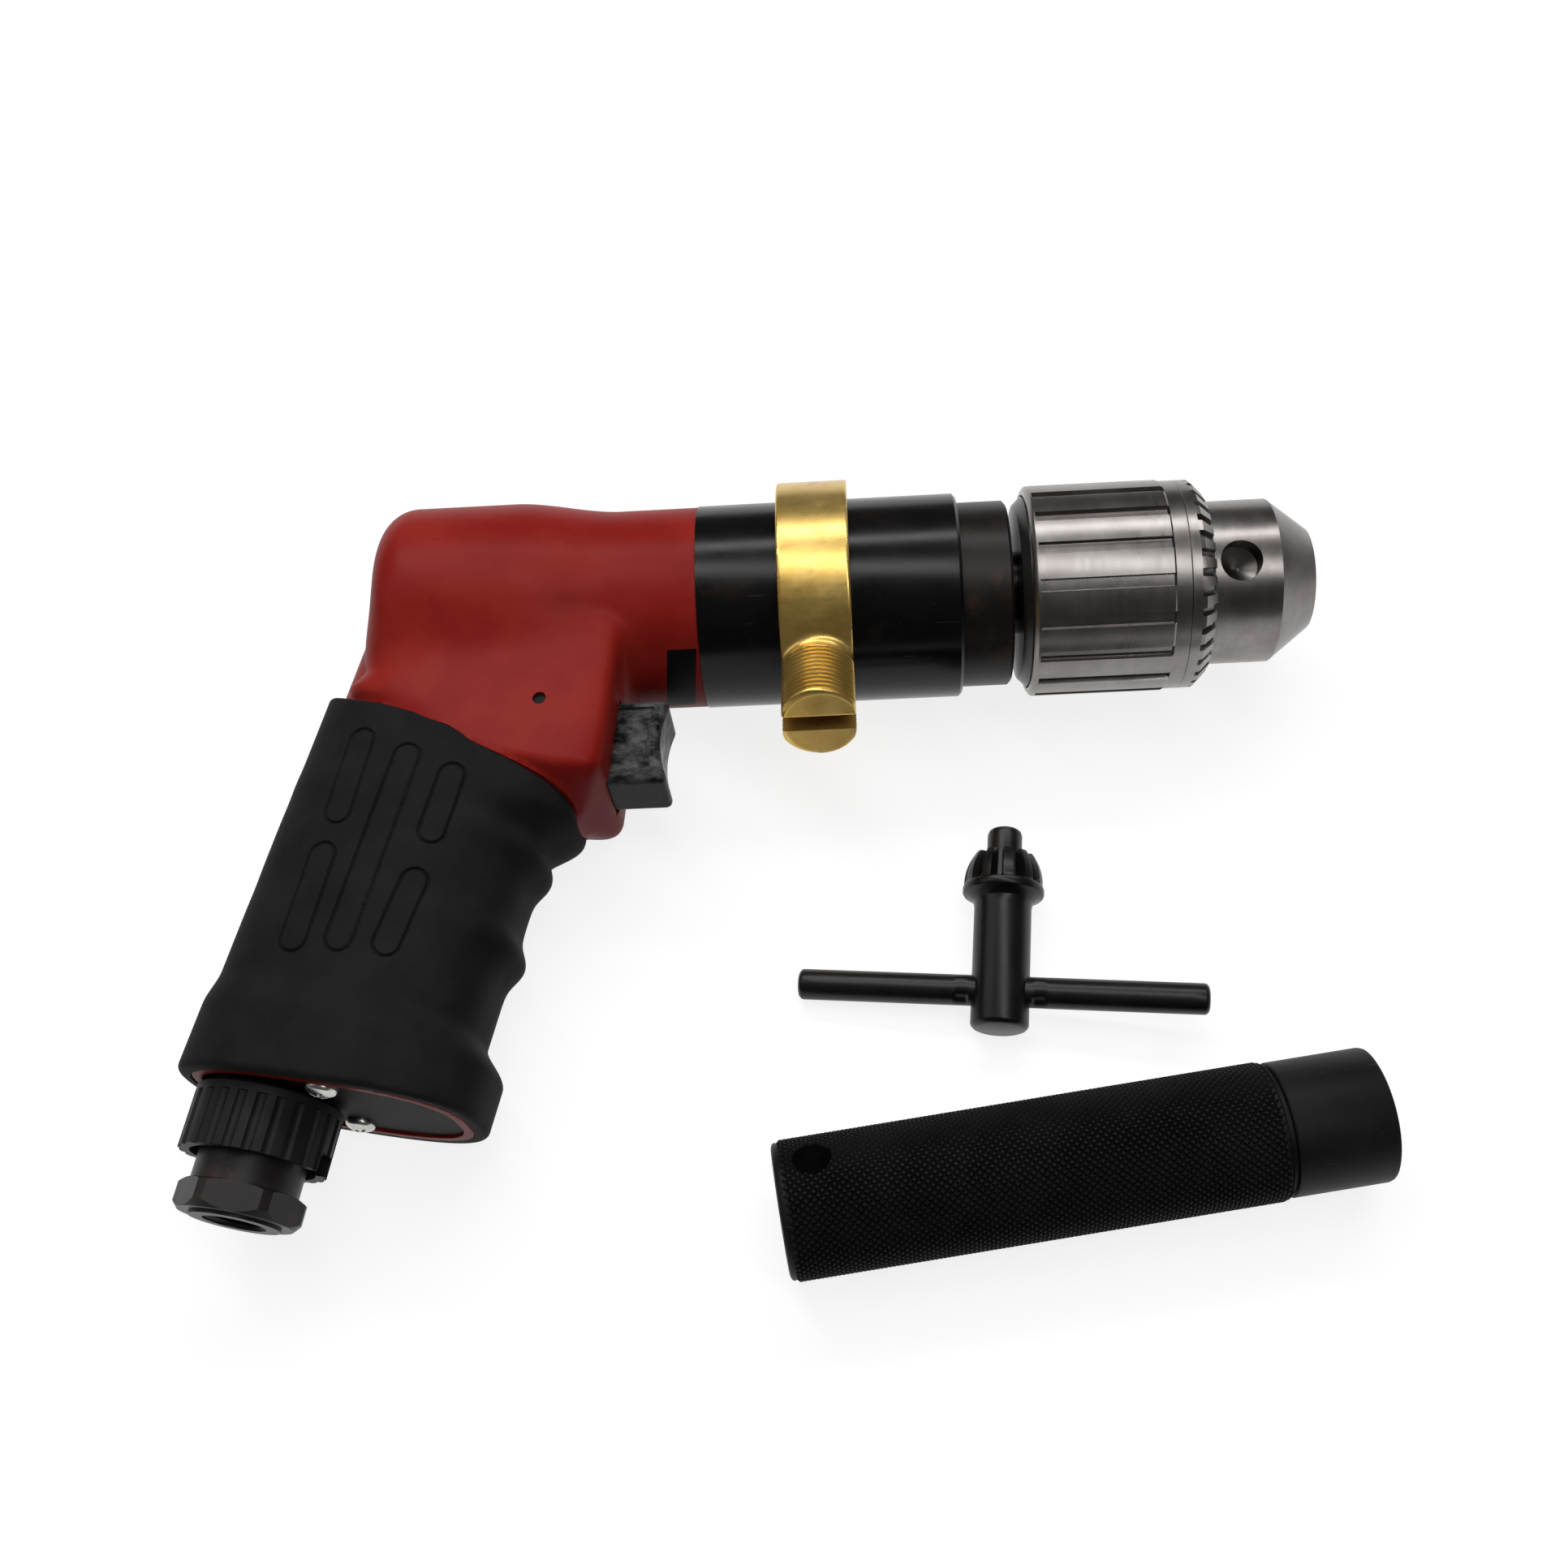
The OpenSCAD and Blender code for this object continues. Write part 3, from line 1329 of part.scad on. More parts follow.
motor_housing();
grip_sleeve();
gear_case();
clamp_nut();
ring_gear();
gear_washer();
bearing_spacer();
spindle_seal();
motor_cylinder();
rear_end_plate();
front_end_plate();
cylinder_dowel();
rear_motor_bearing();
front_motor_bearing();
rear_spindle_bearing();
front_spindle_bearing();
rotor();
rotor_vanes();
rotor_races();
rotor_pinion();
stage_1_carrier();
stage_1_pins();
stage_1_planet(0);  // stage_1_planet_1
stage_1_planet(1);  // stage_1_planet_2
stage_1_planet(2);  // stage_1_planet_3
spindle();
stage_2_pins();
stage_2_planet(0);  // stage_2_planet_1
stage_2_planet(1);  // stage_2_planet_2
stage_2_planet(2);  // stage_2_planet_3
spindle_races();
spindle_spacer();
chuck_body();
chuck_sleeve();
chuck_nut();
chuck_jaw(0);  // chuck_jaw_1
chuck_jaw(1);  // chuck_jaw_2
chuck_jaw(2);  // chuck_jaw_3
trigger();
throttle_valve();
valve_seal();
valve_bushing();
trigger_pin();
valve_spring();
inlet_bushing();
inlet_seal();
inlet_screen();
exhaust_deflector();
base_plate();
base_screws();
handle_ring();
side_handle();
key_shank();
key_bar();
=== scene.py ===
import math

import bmesh
import bpy
import numpy as np
from mathutils import Matrix


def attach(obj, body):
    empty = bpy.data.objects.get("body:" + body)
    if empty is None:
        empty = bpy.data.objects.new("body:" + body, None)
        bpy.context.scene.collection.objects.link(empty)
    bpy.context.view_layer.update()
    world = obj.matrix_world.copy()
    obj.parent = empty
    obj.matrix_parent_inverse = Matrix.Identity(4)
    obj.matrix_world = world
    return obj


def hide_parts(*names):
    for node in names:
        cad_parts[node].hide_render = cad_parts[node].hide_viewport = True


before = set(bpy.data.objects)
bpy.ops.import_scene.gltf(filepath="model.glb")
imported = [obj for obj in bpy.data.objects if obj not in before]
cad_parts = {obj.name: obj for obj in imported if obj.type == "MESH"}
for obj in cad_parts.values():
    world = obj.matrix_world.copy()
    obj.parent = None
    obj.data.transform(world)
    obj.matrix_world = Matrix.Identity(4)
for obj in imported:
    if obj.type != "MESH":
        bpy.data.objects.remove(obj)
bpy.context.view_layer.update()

# Sizes in millimetres, in the drill frame: x along the spindle from the joint of housing and gear
# case, y up the tool, z out of the side that faces up
MM = 0.001
TINY = 1e-9
ORIGIN_X, ORIGIN_Y = 13.8545, -55.2578
LIE_ROLL = math.radians(2.60636)

# Housing barrel
FRONT_R, REAR_R = 20.6, 23.2
SWELL = (16.0, 38.0)
REAR_X, REAR_ROUND, REAR_PLATE_X = -65.5, 7.5, -59.0
MOTOR_R, PAST_FRONT_X = 18.0, 10.0
FRONT_EDGE, BLOCK_EDGE, BUTT_EDGE = 0.35, 0.3, 0.5
BLEND = 4.0
VALVE_END_X, VALVE_R = -66.0, 7.5
PIN_X, PIN_Y, PIN_R = -30.1, -29.8, 1.28
HOUSING_LOW, HOUSING_HIGH, HOUSING_CELL = (-99, -114, -25), (2, 26, 25), 0.7

# Handle, with v down the inlet axis
HANDLE_X, HANDLE_LEN = 54.0, 104.3
TILT, BUTT_SLANT = math.radians(14), math.radians(3.5)
GRIP_DEPTH, GRIP_BACK, GRIP_THICK = 50.0, 15.2, 37.0
FINGER_RIDGE, RIDGE_W, RIDGE_SHARES = 2.3, 3.4, (0.488, 0.664)
FLARES, FLARE_V, FLARE_RUN = (5.0, 1.0, 1.5), HANDLE_LEN - 18.5, 7.0
SWEEP, SWEEP_V, SWEEP_RUN = 6.5, 48.5, 7.0
RECESS_V, BASE_RIM = HANDLE_LEN - 2.6, 1.8
INLET_R, INLET_DEPTH = 8.03, 17.2

# Block between the barrel and the rubber
BLOCK_FRONT, FACE_Y, FACE_LEAN = 15.6, 20.0, math.tan(math.radians(6))
BLOCK_REAR, BLOCK_THICK, BLOCK_PROUD = 68.0, 35.0, 0.5
BLOCK_FLARE, BLOCK_FLARE_V, BLOCK_FLARE_RUN = 3.9, 21.0, 6.5
BLOCK_TOP_V, SHOULDER_V, SHOULDER_R = 6.0, 1.7, 5.5
LIP_V, LIP_RUN = 32.0, 10.0
BLOCK_BACK_POWER, BLOCK_FRONT_POWER, GRIP_POWER = 4.0, 12.0, 2.8
BLOCK_ROUND_FROM, BLOCK_ROUND_TO = 0.85, 0.99

# Rubber sleeve, whose top edge is given as (cosine around the handle, share of RUBBER_TOP_V)
RUBBER_T, RUBBER_TOP_V, RUBBER_GAP = 2.5, 33.0, 0.12
RUBBER_TOP = ((-1, 0.8), (-0.69, 0.87), (-0.15, 0.925), (0, 0.965), (0.16, 1.045), (0.53, 1.12),
              (0.83, 1.17), (0.97, 1.21), (1, 1.26))

# Trigger and its pocket
TRIGGER_DROP, TRIGGER_H, TRIGGER_T = 34.2, 17.9, 14.0
TRIGGER_BACK_X, TRIGGER_FRONT_X, TRIGGER_HOLLOW, TRIGGER_SLANT = -19.0, -5.9, 2.0, 0.25
TRIGGER_SIDE_ROUND, TRIGGER_TOP_ROUND = 1.8, 2.0
PANEL_FRONT_IN, PANEL_EDGE_IN, PANEL_DEPTH, PANEL_ROUND = 2.5, 1.7, 0.6, 0.6
# Band below the upward trigger side over which the painted grey sheen fades in
PAINTED_SHEEN_FROM, PAINTED_SHEEN_TO = 2.6, 1.8
STEM_BACK_X, STEM_FRONT_X, STEM_R = -34.0, -18.0, 4.5
PIN_SLOT_LOW, PIN_SLOT_HIGH = (-31.65, 2.85, -8.0), (-23.55, 9.0, 8.0)
POCKET_END_X, POCKET_GAP = -24.3, 0.3
TRIGGER_LOW, TRIGGER_HIGH, TRIGGER_CELL = (-35, -46, -8), (-5, -24, 8), 0.3

# Brass ring and stud
RING_X, RING_W, RING_R, RING_BORE, RING_EDGE = 16.2, 14.2, 24.7, 20.9, 0.5
STUD_R, STUD_REACH, STUD_SPLIT = 8.0, 39.5, 3.4
STUD_ROOT, STUD_BLEND, STUD_EDGE = 10.0, 1.6, 0.8
STUD_ANGLE = math.radians(180 - 22)
THREAD_PITCH, THREAD_DEPTH, THREAD_FROM, THREAD_FADE, THREAD_ROOT = 1.25, 0.62, 25.3, 0.8, 0.6

# Chuck sleeve
SLEEVE_X, SLEEVE_LEN, SLEEVE_R = 66.0, 35.7, 21.5
SLEEVE_END = SLEEVE_X + SLEEVE_LEN
SLEEVE_BORE = SLEEVE_R - 1.7
BAND_R = SLEEVE_R - 0.3
NOSE_R = 16.6
NOSE_BORE = NOSE_R + 0.3
TEETH_LEN, TEETH = 5.7, 34
TIP_R = SLEEVE_R - 2.8
TOOTH_STATIONS = np.array([-0.5, -0.25, -0.235, -0.10, 0.0, 0.10, 0.235, 0.25])
TOOTH_LOW = np.array([0, 0, 0.92, 1, 1, 1, 0.92, 0])
GROOVES, GROOVE_W, GROOVE_DEPTH, GROOVE_WALL = 18, 2.5, 0.9, 0.008
SCRIBE = 0.12

# Side handle
SIDE_R, SIDE_LEN, SIDE_COLLAR = 12.4, 108.0, 18.0
SIDE_COLLAR_R = SIDE_R - 0.4
SIDE_PLACE = (13.0, -123.0, SIDE_R)
SIDE_TURN = math.radians(7.5)
KNURLS_AROUND, KNURL_PITCH, KNURL_DEPTH, KNURL_TOP = 54, 1.5, 0.5, 0.34
SOCKET_R, SOCKET_X = 8.05, SIDE_LEN - 15.8
SOCKET_MOUTH_X = SIDE_LEN - 0.5
SOCKET_THREAD_LEN, SOCKET_THREAD_DEPTH, SOCKET_THREAD_ROWS = 14.5, 0.55, 88
HOLE_X, HOLE_R, HOLE_REACH, HOLE_TURN = 7.0, 3.5, 16.0, math.radians(-28)

# Chuck key
KEY_PLACE = (55.8, -80.4)
KEY_TURN, KEY_ROLL = math.radians(-6), math.radians(-4.4)
KEY_SHANK_R, KEY_GEAR_R, KEY_PILOT_R = 5.6, 8.0, 3.45
KEY_LEN, KEY_GEAR_LEN, KEY_PILOT_LEN, KEY_BACK, KEY_TEETH = 33.6, 8.5, 5.8, 7.6, 11
KEY_EDGE = 0.6
KEY_BAR_R, KEY_BAR_LEN, KEY_BAR_GAP, KEY_BORE_REACH = 3.0, 78.5, 0.03, 12.0
CRIMP_X, CRIMP_W, CRIMP_EDGE, CRIMP_TURN = KEY_SHANK_R + 1.9, 1.5, 0.5, 0.9
CRIMP_DEPTH, CRIMP_SPREAD = 0.55, 0.16

# Base screws
SCREW_U, SCREW_W, SCREW_V = 13.2, 11.9, RECESS_V + 2.0
SCREW_HEAD_R, SCREW_DOME_R, SCREW_HEAD_H, SCREW_EDGE = 2.9, 4.2, 2.0, 0.35
SCREW_SHANK_R, SCREW_SHANK_LEN, SCREW_OVERLAP = 1.5, 12.0, 0.5
CROSS_HALF_W, CROSS_REACH, CROSS_TOP, CROSS_FLOOR, CROSS_LEAN = 0.42, 1.75, 1.9, 0.3, 0.28
SCREW_LOW, SCREW_HIGH, SCREW_CELL = (-3.4, -3.4, -12.6), (3.4, 3.4, 2.6), 0.16

# Thread inside the air inlet
INLET_END_V, INLET_THREAD_LEN, INLET_PITCH = 127.2, 14.5, 1.34
INLET_OUTER_R, INLET_CREST_R, INLET_THREAD_DEPTH = 5.69, 5.66, 0.62
INLET_ROWS, INLET_FADE_ROWS = 96, 8

# Blank label patch
LABEL_X, LABEL_W, LABEL_SLANT = -6.3, 5.8, 2.0
LABEL_FROM, LABEL_SPAN = 145.5, 49
LABEL_ROWS, LABEL_COLUMNS, LABEL_LIFTS = 24, 10, (0.02, 0.10)


# Frames: each takes its own millimetres to metres in the part's frame
ON_TABLE = Matrix.Scale(MM, 4) @ Matrix.Translation((-ORIGIN_X, -ORIGIN_Y, 0))
IN_DRILL = ON_TABLE @ Matrix.Translation((0, 0, RING_R)) @ Matrix.Rotation(LIE_ROLL, 4, "X")
IN_HANDLE = (IN_DRILL @ Matrix.Translation((-HANDLE_X, 0, 0)) @ Matrix.Rotation(-TILT, 4, "Z")
             @ Matrix.Rotation(math.pi / 2, 4, "X"))
IN_INLET = (IN_HANDLE @ Matrix.Translation((0, 0, HANDLE_LEN)) @ Matrix.Rotation(BUTT_SLANT, 4, "Y")
            @ Matrix.Translation((0, 0, -HANDLE_LEN)))
IN_RING = IN_DRILL @ Matrix.Rotation(STUD_ANGLE, 4, "X")
IN_SIDE_HANDLE = ON_TABLE @ Matrix.Translation(SIDE_PLACE) @ Matrix.Rotation(SIDE_TURN, 4, "Z")
KEY_GEAR_Y = KEY_LEN - KEY_PILOT_LEN - KEY_GEAR_LEN
KEY_LEAN = math.atan((KEY_GEAR_R - KEY_SHANK_R) / (KEY_GEAR_Y + KEY_BACK))
KEY_Z = KEY_SHANK_R * math.cos(KEY_LEAN) + (KEY_BACK - KEY_EDGE) * math.sin(KEY_LEAN)
IN_KEY = (ON_TABLE @ Matrix.Translation((*KEY_PLACE, KEY_Z)) @ Matrix.Rotation(KEY_TURN, 4, "Z")
          @ Matrix.Rotation(KEY_LEAN, 4, "X") @ Matrix.Rotation(KEY_ROLL, 4, "Y"))


# Materials
class Value:
    """A socket inside a finish; sums on it add Math nodes."""

    def __init__(self, finish, socket):
        self.finish, self.socket = finish, socket

    def math(self, operation, *terms):
        return self.finish.node("ShaderNodeMath", {"operation": operation}, dict(enumerate(terms)))

    def __add__(self, other):
        return self.math("ADD", self, other)

    def __sub__(self, other):
        return self.math("SUBTRACT", self, other)

    def __rsub__(self, other):
        return self.math("SUBTRACT", other, self)

    def __mul__(self, other):
        return self.math("MULTIPLY", self, other)

    __radd__ = __add__
    __rmul__ = __mul__

    def between(self, low, high):
        """0 below low, 1 above high, smooth in between."""
        return self.finish.node("ShaderNodeMapRange", {"interpolation_type": "SMOOTHSTEP"},
                                {"Value": self, "From Min": low, "From Max": high})


class Finish:
    """A material around one Principled shader."""

    def __init__(self, name, **constants):
        self.material = bpy.data.materials.new(name)
        self.material.use_nodes = True
        self.tree = self.material.node_tree
        self.shader = self.tree.nodes["Principled BSDF"]
        for socket, value in constants.items():
            self.shader.inputs[socket.replace("_", " ")].default_value = value
        self.place = self.node("ShaderNodeTexCoord", output="Object")

    def node(self, kind, settings=None, sockets=None, output=0):
        made = self.tree.nodes.new(kind)
        for key, value in (settings or {}).items():
            setattr(made, key, value)
        for key, value in (sockets or {}).items():
            self.feed(made.inputs[key], value)
        return Value(self, made.outputs[output])

    def feed(self, socket, value):
        if isinstance(value, Value):
            self.tree.links.new(value.socket, socket)
        else:
            socket.default_value = value

    def set(self, **values):
        for socket, value in values.items():
            self.feed(self.shader.inputs[socket.replace("_", " ")], value)
        return self

    def stretched(self, shares):
        return self.node("ShaderNodeVectorMath", {"operation": "MULTIPLY"},
                         {0: self.place, 1: shares})

    def place_on(self, axis):
        return self.node("ShaderNodeSeparateXYZ", None, {0: self.place}, axis)

    def noise(self, size, detail=3.0, rough=0.55, place=None):
        """Cloudy pattern between 0 and 1 with spots of that size in millimetres."""
        sockets = {"Vector": place or self.place, "Scale": 1 / (size * MM), "Detail": detail,
                   "Roughness": rough}
        return self.node("ShaderNodeTexNoise", None, sockets, "Fac")

    def scratches(self, shares, size, low, high):
        """Thin marks drawn out along the axes with small shares."""
        return self.noise(size, 2.0, 0.6, self.stretched(shares)).between(low, high)

    def mix(self, factor, first, second):
        return self.node("ShaderNodeMix", {"data_type": "RGBA"},
                         {0: factor, 6: rgba(first), 7: rgba(second)}, 2)

    def bump(self, height, depth):
        """Relief of that depth in millimetres."""
        return self.node("ShaderNodeBump", None,
                         {"Height": height, "Distance": depth * MM, "Strength": 1.0})


def rgba(colour):
    return colour if isinstance(colour, Value) else (*colour, 1)


def red_paint():
    f = Finish("satin_red_paint", Coat_Roughness=0.25, Specular_IOR_Level=0.08)
    cloud = f.noise(14, 3)
    peel = f.noise(1.1, 2)
    speck = f.noise(0.5, 2).between(0.66, 0.78)
    rub = f.scratches((0.15, 1, 1), 1.2, 0.68, 0.80)
    colour = f.mix(cloud.between(0.3, 0.7), (0.245, 0.0105, 0.0075), (0.300, 0.0190, 0.0125))
    colour = f.mix(speck * 0.25, colour, (0.33, 0.05, 0.035))
    colour = f.mix(rub * 0.22, colour, (0.36, 0.06, 0.045))
    return f.set(Base_Color=colour, Roughness=0.40 + 0.10 * cloud - 0.05 * rub,
                 Coat_Weight=0.01 + 0.02 * cloud,
                 Normal=f.bump(peel + 0.35 * f.noise(0.35, 2), 0.02))


def grip_rubber():
    f = Finish("moulded_grip_rubber", Specular_IOR_Level=0.10)
    grain = f.noise(0.45, 3)
    cloud = f.noise(9, 3)
    dust = f.noise(2.2, 4, 0.7).between(0.62, 0.80)
    colour = f.mix(cloud.between(0.25, 0.75), (0.0085, 0.0085, 0.0088), (0.0150, 0.0150, 0.0152))
    colour = f.mix(dust * 0.25, colour, (0.035, 0.034, 0.033))
    return f.set(Base_Color=colour, Roughness=0.62 + 0.12 * cloud + 0.08 * grain,
                 Normal=f.bump(grain + 0.5 * f.noise(0.16, 2), 0.035))


def blued_steel(name, dark, brown, rough, gloss, along=(1, 0.06, 0.06)):
    f = Finish(name, Specular_IOR_Level=gloss)
    lines = f.noise(0.5, 3, 0.6, f.stretched(along))
    cloud = f.noise(11, 4, 0.6)
    stain = f.noise(6, 5, 0.65).between(0.52, 0.72)
    rub = f.scratches((0.08, 1, 1), 0.9, 0.70, 0.80)
    nick = f.noise(0.8, 2, 0.5).between(0.74, 0.80)
    colour = f.mix(cloud.between(0.3, 0.7), dark, tuple(1.7 * c for c in dark))
    colour = f.mix(stain * 0.55, colour, brown)
    colour = f.mix((rub + nick) * 0.35, colour, (0.10, 0.095, 0.09))
    return f.set(Base_Color=colour, Roughness=rough + 0.16 * cloud - 0.10 * rub,
                 Metallic=0.06 + 0.15 * stain, Normal=f.bump(lines + 0.6 * f.noise(0.3, 2), 0.010))


def ground_steel(name, light, dark, rough, lines_depth, along=(1, 0.03, 0.03), black_to=None):
    """Ground steel; behind black_to along the spindle it keeps its black oxide."""
    f = Finish(name)
    fine = f.noise(0.22, 3, 0.6, f.stretched(along))
    broad = f.noise(1.6, 2, 0.5, f.stretched(along))
    cloud = f.noise(7, 4, 0.6)
    spot = f.noise(1.3, 2, 0.5).between(0.66, 0.86)
    colour = f.mix(cloud.between(0.3, 0.75), dark, light)
    colour = f.mix(fine.between(0.35, 0.7) * 0.3, colour, dark)
    colour = f.mix(spot * 0.25, colour, (0.16, 0.12, 0.09))
    bare = 1.0 - 0.1 * spot
    if black_to is not None:
        spindle_x = f.place_on("X") * (1 / MM) + ORIGIN_X
        oxide = 1.0 - spindle_x.between(black_to - 0.1, black_to + 0.1)
        colour = f.mix(oxide, colour, (0.010, 0.0095, 0.009))
        bare = bare * (1.0 - 0.85 * oxide)
    return f.set(Base_Color=colour, Metallic=bare, Roughness=rough + 0.10 * broad + 0.08 * cloud,
                 Normal=f.bump(fine + 0.5 * broad, lines_depth))


def turned_brass():
    f = Finish("turned_brass")
    lines = f.noise(0.25, 3, 0.6, f.stretched((1, 0.04, 0.04)))
    wipe = f.noise(1.4, 3, 0.6, f.stretched((0.25, 1, 1)))
    cloud = f.noise(8, 4, 0.6)
    tarnish = f.noise(4, 5, 0.7).between(0.50, 0.74)
    spot = f.noise(0.7, 3, 0.6).between(0.70, 0.78)
    colour = f.mix(cloud.between(0.3, 0.7), (0.60, 0.385, 0.095), (0.74, 0.52, 0.165))
    colour = f.mix(tarnish * 0.45, colour, (0.40, 0.225, 0.055))
    colour = f.mix(spot * 0.5, colour, (0.20, 0.10, 0.03))
    # Painted shade: concave places such as the thread roots and the stud's fillet are darkened
    # towards dark brown
    root = 1.0 - f.node("ShaderNodeNewGeometry", output="Pointiness").between(0.38, 0.49)
    colour = f.mix(root * 0.85, colour, (0.11, 0.055, 0.016))
    return f.set(Base_Color=colour, Metallic=0.84 - 0.15 * spot,
                 Roughness=0.22 + 0.14 * wipe + 0.12 * tarnish,
                 Normal=f.bump(lines + 0.4 * wipe, 0.006))


def moulded_plastic(name, dark, rough, gloss, grain_size, grain_depth):
    f = Finish(name, Specular_IOR_Level=gloss)
    grain = f.noise(grain_size, 3)
    cloud = f.noise(5, 4, 0.6)
    wipe = f.scratches((1, 0.2, 1), 0.7, 0.68, 0.80)
    colour = f.mix(cloud.between(0.3, 0.7), dark, tuple(1.6 * c for c in dark))
    colour = f.mix(wipe * 0.25, colour, (0.05, 0.05, 0.052))
    return f.set(Base_Color=colour, Roughness=rough + 0.12 * cloud + 0.06 * wipe,
                 Normal=f.bump(grain, grain_depth))


def trigger_plastic():
    """Black plastic with painted grey sheen patches, standing in for reflections, on the side that
    faces up.
    """
    f = Finish("glossy_trigger_plastic", Specular_IOR_Level=0.06)
    # Painted sheen: grey patches in the base colour stand in for mottled reflections; the same
    # pattern also varies roughness and bump
    painted_sheen = f.noise(2.6, 4, 0.65, f.stretched((0.6, 1, 1))).between(0.32, 0.72)
    grain = f.noise(0.8, 3)
    panel_z = (RING_R + TRIGGER_T / 2 - TRIGGER_DROP * math.sin(LIE_ROLL)) * MM
    upper = f.place_on("Z").between(panel_z - PAINTED_SHEEN_FROM * MM, panel_z - PAINTED_SHEEN_TO * MM)
    colour = f.mix(painted_sheen * upper, (0.0040, 0.0040, 0.0042), (0.125, 0.125, 0.127))
    return f.set(Base_Color=colour, Roughness=0.22 + 0.18 * painted_sheen,
                 Normal=f.bump(grain + painted_sheen, 0.008))


def plain_steel(name, light, rough):
    f = Finish(name)
    lines = f.noise(0.3, 3, 0.6, f.stretched((1, 0.05, 0.05)))
    cloud = f.noise(5, 4, 0.6)
    colour = f.mix(cloud.between(0.3, 0.7), tuple(0.8 * c for c in light), light)
    return f.set(Base_Color=colour, Metallic=0.95 + 0.05 * cloud, Roughness=rough + 0.12 * cloud,
                 Normal=f.bump(lines, 0.004))


def vane_fibre():
    f = Finish("pressed_vane_fibre")
    weave = f.node("ShaderNodeTexWave", None,
                   {"Vector": f.place, "Scale": 900.0, "Distortion": 1.5}, "Fac")
    colour = f.mix(weave, (0.06, 0.028, 0.012), (0.11, 0.055, 0.024))
    return f.set(Base_Color=colour, Roughness=0.55 + 0.15 * weave, Normal=f.bump(weave, 0.02))


RED = red_paint()
RUBBER = grip_rubber()
BLUED = blued_steel("black_oxide_barrel", (0.0030, 0.0029, 0.0029), (0.020, 0.012, 0.008),
                    0.15, 0.21)
BLUED_NUT = blued_steel("black_oxide_nut", (0.0095, 0.0078, 0.0070), (0.055, 0.030, 0.020),
                        0.28, 0.20)
BLUED_INLET = blued_steel("black_oxide_inlet", (0.0120, 0.0105, 0.0100), (0.060, 0.036, 0.030),
                          0.34, 0.22, (0.4, 0.4, 0.4))
BLUED_KEY = blued_steel("black_oxide_key", (0.0042, 0.0041, 0.0041), (0.009, 0.008, 0.0075),
                        0.26, 0.33, (0.06, 1, 1))
BLUED_HANDLE = blued_steel("black_oxide_handle", (0.0065, 0.0065, 0.0066),
                           (0.010, 0.0095, 0.0095), 0.42, 0.13)
SLEEVE_STEEL = ground_steel("ground_sleeve_steel", (0.265, 0.250, 0.240), (0.205, 0.190, 0.182),
                            0.20, 0.0022)
NOSE_STEEL = ground_steel("turned_nose_steel", (0.265, 0.250, 0.238), (0.185, 0.170, 0.162),
                          0.21, 0.005, black_to=SLEEVE_X)
BRASS = turned_brass()
GLOSS_BLACK = trigger_plastic()
SATIN_BLACK = moulded_plastic("satin_collar_plastic", (0.0075, 0.0073, 0.0071), 0.46, 0.18,
                              0.5, 0.02)
PLATE_BLACK = moulded_plastic("base_plate_plastic", (0.013, 0.0095, 0.0105), 0.50, 0.05, 0.6, 0.01)
SEAL_BLACK = moulded_plastic("seal_rubber_black", (0.0080, 0.0080, 0.0080), 0.62, 0.2, 0.4, 0.02)
LABEL_BLACK = moulded_plastic("blank_label_film", (0.0025, 0.0025, 0.0027), 0.40, 0.06, 1.5, 0.006)
ZINC = plain_steel("zinc_plate", (0.68, 0.67, 0.63), 0.22)
INNER_STEEL = plain_steel("inner_gear_steel", (0.42, 0.42, 0.42), 0.28)
FIBRE = vane_fibre()

SLOT_FINISH = {"red_paint": RED, "grip_rubber": RUBBER, "black_oxide": BLUED,
               "ground_steel": NOSE_STEEL, "inner_steel": INNER_STEEL, "vane_fibre": FIBRE,
               "brass": BRASS, "black_plastic": SATIN_BLACK, "seal_rubber": SEAL_BLACK,
               "zinc": ZINC}
NODE_FINISH = {"clamp_nut": BLUED_NUT, "trigger_pin": BLUED_HANDLE, "inlet_bushing": BLUED_INLET,
               "base_plate": PLATE_BLACK, "key_shank": BLUED_KEY, "key_bar": BLUED_KEY,
               "side_handle": BLUED_HANDLE}
for node_name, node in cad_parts.items():
    slot_name = node.material_slots[0].material.name.split(".")[0]
    finish = NODE_FINISH.get(node_name) or SLOT_FINISH[slot_name]
    for material_slot in node.material_slots:
        material_slot.material = finish.material


# Meshes
def linked(name, data):
    made = bpy.data.objects.new(name, data)
    bpy.context.scene.collection.objects.link(made)
    return made


def placed_mesh(name, points, faces, place, sharp):
    """A mesh of millimetre points, placed by a frame."""
    matrix = np.array(place)
    placed = np.asarray(points, float) @ matrix[:3, :3].T + matrix[:3, 3]
    mesh = bpy.data.meshes.new(name)
    mesh.from_pydata(placed.tolist(), [], [list(map(int, face)) for face in faces])
    mesh.validate()
    shade(mesh, sharp)
    return mesh


def piece(name, body, points, faces, place, finish, slot, replaced, sharp):
    """A piece that rides on a body and stands for the replaced nodes."""
    mesh = placed_mesh(name, points, faces, place, sharp)
    mesh.materials.append(finish.material)
    made = linked(name, mesh)
    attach(made, body)
    if replaced:
        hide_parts(*replaced)
    return made


def cut(made, points, faces, place, sharp):
    """Takes a shape out of a piece."""
    cutter = linked("cutter", placed_mesh("cutter", points, faces, place, sharp))
    modifier = made.modifiers.new("cut", "BOOLEAN")
    modifier.operation, modifier.solver, modifier.object = "DIFFERENCE", "EXACT", cutter
    bpy.context.view_layer.update()
    result = bpy.data.meshes.new_from_object(
        made.evaluated_get(bpy.context.evaluated_depsgraph_get()))
    made.modifiers.clear()
    bpy.data.objects.remove(cutter)
    made.data = result
    shade(result, sharp)


def shade(mesh, sharp):
    work = bmesh.new()
    work.from_mesh(mesh)
    bmesh.ops.recalc_face_normals(work, faces=work.faces)
    work.to_mesh(mesh)
    work.free()
    mesh.shade_smooth()
    mesh.set_sharp_from_angle(angle=math.radians(sharp))


